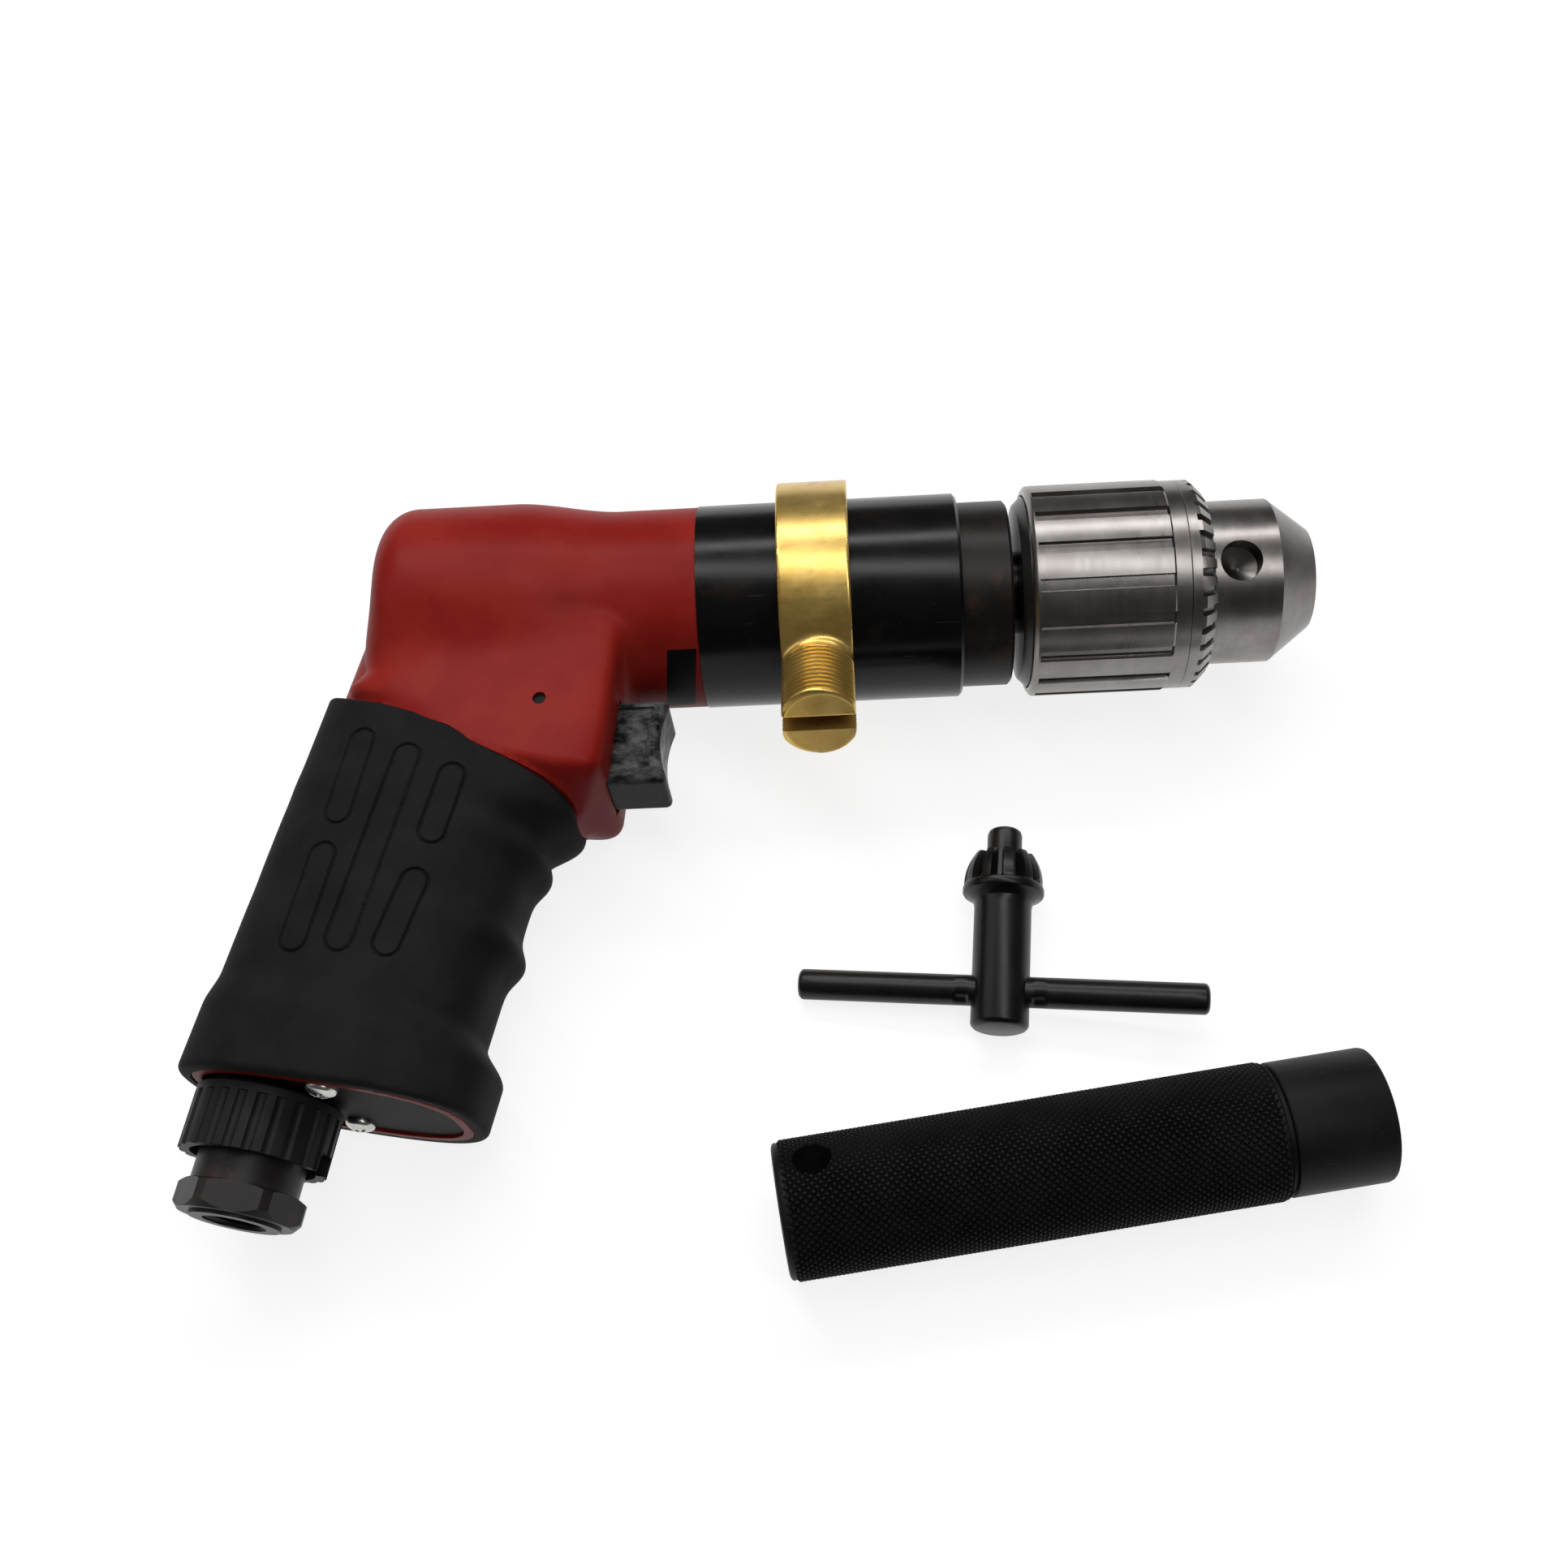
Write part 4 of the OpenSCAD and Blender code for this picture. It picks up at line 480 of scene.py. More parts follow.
def joined(*parts):
    """Several (points, faces) as one."""
    points, faces, start = [], [], 0
    for part_points, part_faces in parts:
        points.append(np.asarray(part_points, float))
        faces += [[start + i for i in face] for face in part_faces]
        start += len(part_points)
    return np.concatenate(points), faces


def ticks(*stops):
    """Places along an axis: (start, step), (next start, step), … end."""
    parts = [np.arange(start, end if np.isscalar(end) else end[0], step)
             for (start, step), end in zip(stops, stops[1:])]
    return np.append(np.concatenate(parts), stops[-1])


def evenly(low, high, cell):
    return [ticks((a, cell), b) for a, b in zip(low, high)]


HALVINGS, EDGE_HOLD, SLOPE_STEP = 12, 0.03, 0.02


def contour(field, axes):
    """Points and faces of the surface where a field passes 0, with its edges kept sharp."""
    grid = field(*np.meshgrid(*axes, indexing="ij"))
    inside = grid < 0
    cells = np.array(grid.shape) - 1
    cell = min(np.diff(axis)[0] for axis in axes)
    found = []
    for axis in range(3):
        unit = np.eye(3, dtype=int)[axis]
        first = inside[tuple(slice(0, -1) if i == axis else slice(None) for i in range(3))]
        second = inside[tuple(slice(1, None) if i == axis else slice(None) for i in range(3))]
        at = np.argwhere(first != second)
        others = [(axis + 1) % 3, (axis + 2) % 3]
        for other in others:
            at = at[(at[:, other] >= 1) & (at[:, other] < cells[other])]
        outward = inside[tuple(at.T)]
        near, far = grid_place(axes, at), grid_place(axes, at + unit)
        for _ in range(HALVINGS):
            middle = (near + far) / 2
            same = (field(*middle.T) < 0) == outward
            near[same], far[~same] = middle[same], middle[~same]
        crossing = (near + far) / 2
        found.append((at, others, outward, crossing, slope(field, crossing, cell)))
    corner_ids, corner_points, corner_slopes, quads = [], [], [], []
    for at, others, outward, crossing, normals in found:
        ring = []
        for step in ((-1, -1), (0, -1), (0, 0), (-1, 0)):
            shifted = at.copy()
            shifted[:, others[0]] += step[0]
            shifted[:, others[1]] += step[1]
            ring.append(np.ravel_multi_index(tuple(shifted.T), tuple(cells)))
            corner_ids.append(ring[-1])
            corner_points.append(crossing)
            corner_slopes.append(normals)
        ring = np.stack(ring, 1)
        ring[~outward] = ring[~outward][:, ::-1]
        quads.append(ring)
    ids, where = np.unique(np.concatenate(corner_ids), return_inverse=True)
    spots, normals = np.concatenate(corner_points), np.concatenate(corner_slopes)

    def gather(values):
        columns = values.reshape(len(where), -1).T
        return np.stack([np.bincount(where, column, len(ids)) for column in columns], 1)

    middle = gather(spots) / np.bincount(where, minlength=len(ids))[:, None]
    outer = gather(normals[:, :, None] * normals[:, None, :]).reshape(-1, 3, 3)
    reach = gather(normals * np.sum(normals * (spots - middle[where]), 1)[:, None])
    shift = np.linalg.solve(outer + EDGE_HOLD * np.eye(3), reach[:, :, None])[:, :, 0]
    at = np.stack(np.unravel_index(ids, tuple(cells)), 1)
    points = np.clip(middle + shift, grid_place(axes, at), grid_place(axes, at + 1))
    return points, np.searchsorted(ids, np.concatenate(quads)).tolist()


def grid_place(axes, at):
    return np.stack([axis[i] for axis, i in zip(axes, at.T)], 1)


def slope(field, points, cell):
    """Unit slope of a field at points."""
    step = cell * SLOPE_STEP
    found = np.zeros_like(points)
    for axis in range(3):
        shift = np.zeros(3)
        shift[axis] = step
        found[:, axis] = field(*(points + shift).T) - field(*(points - shift).T)
    return found / (np.linalg.norm(found, axis=1)[:, None] + TINY)


def bands(rows, size, loop):
    """Faces between rows of points, each row a closed ring."""
    faces = []
    for j in range(rows if loop else rows - 1):
        a, b = j * size, (j + 1) % rows * size
        faces += [[a + i, a + (i + 1) % size, b + (i + 1) % size, b + i] for i in range(size)]
    return faces


def lathe(rows, loop=False):
    """Points and faces through rows of (x, radius, turn) about the x axis; open ends are capped."""
    points = []
    size, last = len(rows[0][2]), len(rows)
    for x, radius, turn in rows:
        x, radius = np.broadcast_to(x, size), np.broadcast_to(radius, size)
        points.append(np.stack([x, radius * np.cos(turn), radius * np.sin(turn)], 1))
    faces = bands(last, size, loop)
    if not loop:
        faces.append(list(range(size)))
        faces.append([(last - 1) * size + size - 1 - i for i in range(size)])
    return np.concatenate(points), faces


def turned(profile, turn):
    """Lathe rows from (x, radius) pairs."""
    return [(x, radius, turn) for x, radius in profile]


def turns(count):
    return np.arange(count) * 2 * math.pi / count


def smooth(share):
    c = np.clip(share, 0, 1)
    return c * c * (3 - 2 * c)


def union_soft(a, b, reach):
    h = np.maximum(reach - np.abs(a - b), 0) / reach
    return np.minimum(a, b) - h * h * reach / 4


def meet_round(a, b, radius):
    """Where two fields meet, with the edge between them rounded."""
    a, b = a + radius, b + radius
    return np.hypot(np.maximum(a, 0), np.maximum(b, 0)) + np.minimum(np.maximum(a, b), 0) - radius


def tube(x, y, z, start, end, radius, y0=0.0):
    """Field of a rod along x."""
    return np.maximum(np.hypot(y - y0, z) - radius, np.maximum(start - x, x - end))


def block(x, y, z, low, high):
    return np.maximum.reduce([low[0] - x, x - high[0], low[1] - y, y - high[1],
                              low[2] - z, z - high[2]])


def triangle(phase):
    """Wave between 0 and 1 with straight flanks."""
    return np.abs(2 * (phase - np.floor(phase)) - 1)


# Handle shape: u runs forward, v down the inlet axis
def grip_front(v):
    ridges = sum(np.exp(-((v - HANDLE_LEN * share) / RIDGE_W) ** 2) for share in RIDGE_SHARES)
    return (GRIP_DEPTH - GRIP_BACK + FINGER_RIDGE * ridges
            + FLARES[0] * smooth((v - FLARE_V) / FLARE_RUN)
            + SWEEP * smooth((SWEEP_V - v) / SWEEP_RUN))


def grip_back(v):
    return -GRIP_BACK - FLARES[1] * smooth((v - FLARE_V) / FLARE_RUN)


def grip_half(v):
    return GRIP_THICK / 2 + FLARES[2] * smooth((v - FLARE_V) / FLARE_RUN)


def block_front(v):
    c, s = math.cos(TILT), math.sin(TILT)
    run = HANDLE_X - BLOCK_FRONT + FACE_Y * FACE_LEAN + v * (s - FACE_LEAN * c)
    face = run / (c + FACE_LEAN * s)
    share = smooth((v - LIP_V) / LIP_RUN)
    return face * (1 - share) + (grip_front(v) - BLOCK_PROUD) * share


def block_back(v):
    return ((HANDLE_X - BLOCK_REAR + v * math.sin(TILT)) / math.cos(TILT)
            - BLOCK_FLARE * smooth((v - BLOCK_FLARE_V) / BLOCK_FLARE_RUN))


def spline_table(knots, count=400):
    """Smooth curve through knots, as a table."""
    xs, ys = np.array(knots, float).T
    step = np.diff(ys) / np.diff(xs)
    inner = 2 * step[1:] * step[:-1] / (step[1:] + step[:-1])
    rise = np.concatenate([step[:1], inner, step[-1:]])
    at = np.linspace(xs[0], xs[-1], count)
    i = np.clip(np.searchsorted(xs, at) - 1, 0, len(xs) - 2)
    w = xs[i + 1] - xs[i]
    s = (at - xs[i]) / w
    values = ((2 * s**3 - 3 * s**2 + 1) * ys[i] + (s**3 - 2 * s**2 + s) * w * rise[i]
              + (3 * s**2 - 2 * s**3) * ys[i + 1] + (s**3 - s**2) * w * rise[i + 1])
    return at, values


EDGE_AT, EDGE_SHARE = spline_table(RUBBER_TOP)


def rubber_edge(cosine):
    return RUBBER_TOP_V * np.interp(cosine, EDGE_AT, EDGE_SHARE)


def section_field(u, w, front, back, half, power):
    """Field of a rounded section, about in millimetres, and the cosine of the place around it."""
    reach = np.maximum((front - back) / 2, TINY)
    a, b = (u - (front + back) / 2) / reach, w / half
    q = np.abs(a) ** power + np.abs(b) ** power + TINY
    g = q ** (1 / power)
    steep = np.hypot(np.abs(a / g) ** (power - 1) / reach, np.abs(b / g) ** (power - 1) / half)
    return (g - 1) / np.maximum(steep, 1 / half / 2), np.sign(a) * np.abs(a / g) ** (power / 2)


def grip_section(u, w, v, inset):
    """section_field of the grip, set in from its surface."""
    return section_field(u, w, grip_front(v) - inset, grip_back(v) + inset, grip_half(v) - inset,
                         GRIP_POWER)


def to_handle(x, y, z):
    c, s = math.cos(TILT), math.sin(TILT)
    return (x + HANDLE_X) * c - y * s, z, -(x + HANDLE_X) * s - y * c


def to_inlet(u, v):
    """Handle places in the frame of the slanted butt."""
    c, s = math.cos(BUTT_SLANT), math.sin(BUTT_SLANT)
    return u * c - (v - HANDLE_LEN) * s, HANDLE_LEN + u * s + (v - HANDLE_LEN) * c


def housing_field(x, y, z):
    r = np.hypot(y, z)
    outer = FRONT_R + (REAR_R - FRONT_R) * smooth((-x - SWELL[0]) / (SWELL[1] - SWELL[0]))
    barrel = meet_round(r - outer, REAR_X - x, REAR_ROUND)
    u, w, v = to_handle(x, y, z)
    _, cosine = grip_section(u, w, v, 0.0)
    edge = rubber_edge(cosine)
    front, back = block_front(v), block_back(v)
    top = np.where(u > (front + back) / 2, BLOCK_FRONT_POWER, BLOCK_BACK_POWER)
    share = (v - BLOCK_TOP_V) / (edge - BLOCK_TOP_V)
    rounding = smooth((share - BLOCK_ROUND_FROM) / (BLOCK_ROUND_TO - BLOCK_ROUND_FROM))
    power = top + (GRIP_POWER - top) * rounding
    side, _ = section_field(u, w, front, back, BLOCK_THICK / 2, power)
    upper = meet_round(meet_round(side, SHOULDER_V - v, SHOULDER_R), v - edge, BLOCK_EDGE)
    inlet_u, inlet_v = to_inlet(u, v)
    core, _ = grip_section(u, w, v, RUBBER_T)
    core = np.maximum(BLOCK_TOP_V - v, meet_round(core, inlet_v - HANDLE_LEN, BUTT_EDGE))
    solid = np.minimum(union_soft(barrel, upper, BLEND), core)
    solid = meet_round(solid, x, FRONT_EDGE)
    recess, _ = grip_section(inlet_u, w, v, RUBBER_T + BASE_RIM)
    pocket_low = (POCKET_END_X, -TRIGGER_DROP - TRIGGER_H / 2 - POCKET_GAP,
                  -TRIGGER_T / 2 - POCKET_GAP)
    pocket_high = (PAST_FRONT_X, -TRIGGER_DROP + TRIGGER_H / 2 + POCKET_GAP,
                   TRIGGER_T / 2 + POCKET_GAP)
    cuts = [
        tube(x, y, z, REAR_PLATE_X, PAST_FRONT_X, MOTOR_R),
        block(x, y, z, pocket_low, pocket_high),
        tube(x, y, z, VALVE_END_X, POCKET_END_X + 1, VALVE_R, -TRIGGER_DROP),
        np.hypot(x - PIN_X, y - PIN_Y) - PIN_R,
        np.maximum(recess, RECESS_V - inlet_v),
        np.maximum(np.hypot(inlet_u, w) - INLET_R, RECESS_V - INLET_DEPTH - inlet_v),
    ]
    for hollow in cuts:
        solid = np.maximum(solid, -hollow)
    return solid


HOUSING_AXES = evenly(HOUSING_LOW, HOUSING_HIGH, HOUSING_CELL)
piece("housing_shell", "tool", *contour(housing_field, HOUSING_AXES), IN_DRILL, RED, "red_paint",
      ("motor_housing",), 30)


# Rubber sleeve with five engraved oblong outlines on each side
OUTLINES = (((-63.9, -37.3), (-66.8, -52.2)), ((-54.6, -41.5), (-63.8, -77.7)),
            ((-45.7, -46.1), (-48.6, -57.1)), ((-68.8, -61.1), (-72.3, -77.3)),
            ((-51.1, -67.2), (-55.1, -78.9)))
OUTLINE_HALF = 2.5
LINE_DEPTH, LINE_W = 0.55, 0.26
FLAT_DEPTH = 2.2
FINER_WITHIN = (1.3, 0.8, 0.55)
GRIP_STATIONS, GRIP_ROWS, GRIP_EDGE_ROWS, GRIP_INNER_ROWS = 216, 110, 6, 12
GRIP_LIP, GRIP_FOOT, GRIP_INNER_GAP = 0.9, 1.3, 0.03


def grip_point(turn, v, inset):
    front, back, half = grip_front(v) - inset, grip_back(v) + inset, grip_half(v) - inset
    c, s = np.cos(turn), np.sin(turn)
    power = 2 / GRIP_POWER
    return np.stack([(front + back) / 2 + (front - back) / 2 * np.sign(c) * np.abs(c) ** power,
                     half * np.sign(s) * np.abs(s) ** power, v], 1)


def outline_gap(x, y):
    """Distance from the nearest engraved outline."""
    gaps = []
    for (ax, ay), (bx, by) in OUTLINES:
        run_x, run_y = bx - ax, by - ay
        share = np.clip(((x - ax) * run_x + (y - ay) * run_y) / (run_x**2 + run_y**2), 0, 1)
        gap = np.hypot(x - ax - share * run_x, y - ay - share * run_y) - OUTLINE_HALF
        gaps.append(np.abs(gap))
    return np.minimum.reduce(gaps)


def grip_sleeve():
    turn = turns(GRIP_STATIONS)
    top = rubber_edge(np.cos(turn)) + RUBBER_GAP
    butt_u = grip_point(turn, np.full_like(turn, HANDLE_LEN), 0.0)[:, 0]
    end = HANDLE_LEN - math.tan(BUTT_SLANT) * butt_u
    quarter = np.linspace(0, math.pi / 2, GRIP_EDGE_ROWS)
    rows = [grip_point(turn, top + GRIP_LIP * (1 - math.sin(a)), GRIP_LIP * (1 - math.cos(a)))
            for a in quarter[::-1]]
    length = end - GRIP_FOOT - top - GRIP_LIP
    rows += [grip_point(turn, top + GRIP_LIP + length * j / GRIP_ROWS, 0.0)
             for j in range(1, GRIP_ROWS)]
    rows += [grip_point(turn, end - GRIP_FOOT * (1 - math.sin(a)), GRIP_FOOT * (1 - math.cos(a)))
             for a in quarter]
    rows += [grip_point(turn, end + (top - end) * j / GRIP_INNER_ROWS, RUBBER_T - GRIP_INNER_GAP)
             for j in range(GRIP_INNER_ROWS + 1)]
    made = piece("grip_cover", "tool", np.concatenate(rows), bands(len(rows), len(turn), True),
                 IN_HANDLE, RUBBER, "grip_rubber", ("grip_sleeve",), 40)
    engrave(made.data)
    shade(made.data, 60)


def engrave(mesh):
    """Cuts the outlines into the two flat sides of the rubber."""
    to_drill = np.array(IN_DRILL.inverted())
    work = bmesh.new()
    work.from_mesh(mesh)

    def gap_at(place):
        """Distance from an outline, or None off the flat sides."""
        spot = to_drill[:3, :3] @ np.array(place) + to_drill[:3, 3]
        _, w, v = to_handle(*spot)
        on_flat = abs(w) > float(grip_half(np.array(v))) - FLAT_DEPTH
        return float(outline_gap(spot[0], spot[1])) if on_flat else None

    for reach in FINER_WITHIN:
        edges = {}
        for face in work.faces:
            gap = gap_at(face.calc_center_median())
            if gap is not None and gap < reach:
                edges.update(dict.fromkeys(face.edges))
        bmesh.ops.subdivide_edges(work, edges=list(edges), cuts=1, use_grid_fill=True)
    work.normal_update()
    for vert in work.verts:
        gap = gap_at(vert.co)
        if gap is not None and gap < 3 * LINE_W:
            vert.co -= vert.normal * (LINE_DEPTH * math.exp(-(gap / LINE_W) ** 2) * MM)
    work.to_mesh(mesh)
    work.free()


grip_sleeve()


# Trigger with a hollow front and a sunk panel on each side
def trigger_field(x, y, z):
    y = y + TRIGGER_DROP
    rise = y / (TRIGGER_H / 2)
    front = x - TRIGGER_FRONT_X + TRIGGER_HOLLOW * (1 - rise**2) - TRIGGER_SLANT * (rise - 1)
    up = np.abs(y) - TRIGGER_H / 2
    wide = np.abs(z) - TRIGGER_T / 2
    body = meet_round(meet_round(front, up, TRIGGER_TOP_ROUND), wide, TRIGGER_SIDE_ROUND)
    body = np.maximum(body, TRIGGER_BACK_X - x)
    panel = meet_round(front + PANEL_FRONT_IN, up + PANEL_EDGE_IN, PANEL_ROUND)
    panel = np.maximum(panel, -wide - PANEL_DEPTH)
    body = np.maximum(body, -panel)
    stem = tube(x, y, z, STEM_BACK_X, STEM_FRONT_X, STEM_R)
    slot = block(x, y, z, PIN_SLOT_LOW, PIN_SLOT_HIGH)
    return np.maximum(np.minimum(body, stem), -slot)


TRIGGER_AXES = evenly(TRIGGER_LOW, TRIGGER_HIGH, TRIGGER_CELL)
piece("trigger_shell", "trigger_unit", *contour(trigger_field, TRIGGER_AXES), IN_DRILL,
      GLOSS_BLACK, "black_plastic", ("trigger",), 40)


# Brass ring with its split threaded stud, in a frame with y down the stud
def ring_field(x, y, z):
    along = x - RING_X - RING_W / 2
    r = np.hypot(y, z)
    band = r - RING_R
    turn = np.arctan2(z, along)
    flank = 2 * triangle(y / THREAD_PITCH - turn / (2 * math.pi)) - THREAD_ROOT
    thread = THREAD_DEPTH * np.clip(flank, 0, 1) * smooth((y - THREAD_FROM) / THREAD_FADE)
    stud = meet_round(np.hypot(along, z) - STUD_R + thread, y - STUD_REACH, STUD_EDGE)
    stud = np.maximum(stud, STUD_ROOT - y)
    solid = meet_round(union_soft(band, stud, STUD_BLEND), np.abs(along) - RING_W / 2, RING_EDGE)
    solid = np.maximum(solid, RING_BORE - r)
    return np.maximum(solid, -np.maximum(np.abs(z) - STUD_SPLIT / 2, -y))


RING_AXES = ticks((15, 0.27), 31.6), ticks((-26, 0.4), (23, 0.15), 41), ticks((-26, 0.27), 26)
piece("brass_ring", "ring", *contour(ring_field, RING_AXES), IN_RING, BRASS, "brass",
      ("handle_ring",), 32)


# Chuck sleeve: grooved rear part, plain band and toothed front, with a scribed line between
def grooved_rear(tooth_x, line_x):
    rib_start, rib_end = SLEEVE_X + 1.2, tooth_x - 2.6
    half = math.asin(GROOVE_W / 2 / SLEEVE_R)
    gap = 2 * math.pi / GROOVES - 2 * half
    stations = []
    for k in range(GROOVES):
        middle = 2 * math.pi * k / GROOVES
        stations += [middle - half, middle - half + GROOVE_WALL, middle - half / 2, middle,
                     middle + half / 2, middle + half - GROOVE_WALL]
        stations += list(middle + half + gap * np.arange(9) / 9)
    turn = np.sort(np.array(stations) % (2 * math.pi))
    from_groove = np.abs((turn * GROOVES / (2 * math.pi) + 0.5) % 1 - 0.5) * 2 * math.pi / GROOVES
    ribs = SLEEVE_R - np.where(from_groove < half - GROOVE_WALL / 2, GROOVE_DEPTH, 0.0)
    profile = ((SLEEVE_X, SLEEVE_BORE), (SLEEVE_X, SLEEVE_R - 0.9),
               (SLEEVE_X + 0.5, SLEEVE_R - 0.2), (SLEEVE_X + 0.8, SLEEVE_R), (rib_start, SLEEVE_R),
               (rib_start + 0.05, ribs), (rib_start + 8, ribs), (rib_end - 8, ribs),
               (rib_end - 0.4, ribs), (rib_end - 0.02, BAND_R), (rib_end + 1.4, BAND_R),
               (line_x - SCRIBE, BAND_R), (line_x, BAND_R - SCRIBE), (line_x, NOSE_BORE),
               (tooth_x, NOSE_BORE), (tooth_x, SLEEVE_BORE))
    return lathe(turned(profile, turn), loop=True)


def toothed_front(line_x):
    """Each row is (x, share of the notch's width, radius of the teeth, radius of the notches)."""
    rows = []
    for x, width, crest, root in (
            (line_x, 0.6, BAND_R - SCRIBE, BAND_R - SCRIBE), (line_x + SCRIBE, 0.6, BAND_R, BAND_R),
            (SLEEVE_END - 3.35, 0.6, BAND_R, BAND_R),
            (SLEEVE_END - 3.25, 0.6, BAND_R, BAND_R - 1.2),
            (SLEEVE_END - 2.5, 0.7, BAND_R - 0.1, BAND_R - 2.2),
            (SLEEVE_END - 0.5, 1.0, TIP_R + 0.35, NOSE_BORE + 0.5),
            (SLEEVE_END, 1.05, TIP_R - 0.2, NOSE_BORE + 0.4),
            (SLEEVE_END, 1.0, NOSE_BORE, NOSE_BORE), (line_x, 1.0, NOSE_BORE, NOSE_BORE)):
        offsets = TOOTH_STATIONS.copy()
        offsets[1:7] *= width
        turn = (np.arange(TEETH)[:, None] + offsets[None, :]).ravel() * (2 * math.pi / TEETH)
        rows.append((x, crest - (crest - root) * np.tile(TOOTH_LOW, TEETH), turn))
    return lathe(rows, loop=True)


def chuck_sleeve():
    tooth_x = SLEEVE_END - TEETH_LEN
    line_x = tooth_x + 0.4
    piece("sleeve_ground", "chuck_key_sleeve",
          *joined(grooved_rear(tooth_x, line_x), toothed_front(line_x)), IN_DRILL, SLEEVE_STEEL,
          "ground_steel", ("chuck_sleeve",), 25)


chuck_sleeve()


# Side handle with a diamond knurl, a plain collar, a cross hole and a threaded socket
def side_handle():
    collar_x = SIDE_LEN - SIDE_COLLAR
    start, end = 1.1, collar_x - 1.3
    steps = 2 * int(round((end - start) / KNURL_PITCH))
    size = 2 * KNURLS_AROUND
    step_x = (end - start) / steps
    turn = turns(size)
    points, faces = [], []

    def put(a, b, radius):
        angle = b * 2 * math.pi / size
        points.append((start + a * step_x, radius * math.cos(angle), radius * math.sin(angle)))
        return len(points) - 1

    valley = {(a, b): put(a, b, SIDE_R - KNURL_DEPTH) for a in range(steps + 1) for b in range(size)
              if (a + b) % 2 == 0 or a in (0, steps)}
    for a in range(1, steps):
        for b in range(size):
            if (a + b) % 2 == 0:
                continue
            corners = [valley[a + 1, b], valley[a, (b + 1) % size], valley[a - 1, b],
                       valley[a, (b - 1) % size]]
            crest = [put(a + KNURL_TOP, b, SIDE_R), put(a, b + KNURL_TOP, SIDE_R),
                     put(a - KNURL_TOP, b, SIDE_R), put(a, b - KNURL_TOP, SIDE_R)]
            faces.append(crest)
            faces += [[corners[i], corners[(i + 1) % 4], crest[(i + 1) % 4], crest[i]]
                      for i in range(4)]
    for a, inner in ((0, 1), (steps, steps - 1)):
        for b in range(size):
            if (inner + b) % 2 == 0:
                tip, here = valley[inner, b], valley[a, b]
                faces += [[valley[a, (b - 1) % size], tip, here],
                          [tip, valley[a, (b + 1) % size], here]]

    def skin(first, profile):
        """Bands from a row of points through (x, radius) pairs; gives the last row."""
        for x, radius in profile:
            row = np.stack([np.full(size, x), radius * np.cos(turn), radius * np.sin(turn)], 1)
            points.extend(map(tuple, row))
            second = range(len(points) - size, len(points))
            faces.extend([first[i], first[(i + 1) % size], second[(i + 1) % size], second[i]]
                         for i in range(size))
            first = second
        return list(first)

    collar_r, neck_r = SIDE_COLLAR_R, SIDE_COLLAR_R - 0.8
    profile = [(collar_x - 1.2, SIDE_R - 0.2), (collar_x - 1.1, neck_r), (collar_x - 0.2, neck_r),
               (collar_x, collar_r - 0.15), (collar_x + 0.2, collar_r), (SIDE_LEN - 0.9, collar_r),
               (SIDE_LEN - 0.3, collar_r - 0.2), (SIDE_LEN, collar_r - 0.8),
               (SIDE_LEN, SOCKET_R + 0.7)]
    for j in range(SOCKET_THREAD_ROWS + 1):
        x = SOCKET_MOUTH_X - SOCKET_THREAD_LEN * j / SOCKET_THREAD_ROWS
        wave = triangle(x / THREAD_PITCH - turn / (2 * math.pi))
        relief = SOCKET_THREAD_DEPTH * wave * smooth(SOCKET_MOUTH_X - x)
        profile.append((x, SOCKET_R + 0.35 - relief))
    profile.append((SOCKET_X, SOCKET_R))
    faces.append(skin([valley[steps, b] for b in range(size)], profile)[::-1])
    rear = ((0.7, SIDE_R - 0.35), (0.25, SIDE_R - 0.6), (0, SIDE_R - 1.2))
    faces.append(skin([valley[0, b] for b in range(size)], rear))
    made = piece("knurled_handle", "loose_handle", points, faces, IN_SIDE_HANDLE, BLUED_HANDLE,
                 "black_oxide", ("side_handle",), 20)
    hole = lathe(turned(((-HOLE_REACH, HOLE_R), (HOLE_REACH, HOLE_R)), turns(48)))
    across = (IN_SIDE_HANDLE @ Matrix.Translation((HOLE_X, 0, 0))
              @ Matrix.Rotation(HOLE_TURN, 4, "X") @ Matrix.Rotation(-math.pi / 2, 4, "Y"))
    cut(made, *hole, across, 20)


side_handle()


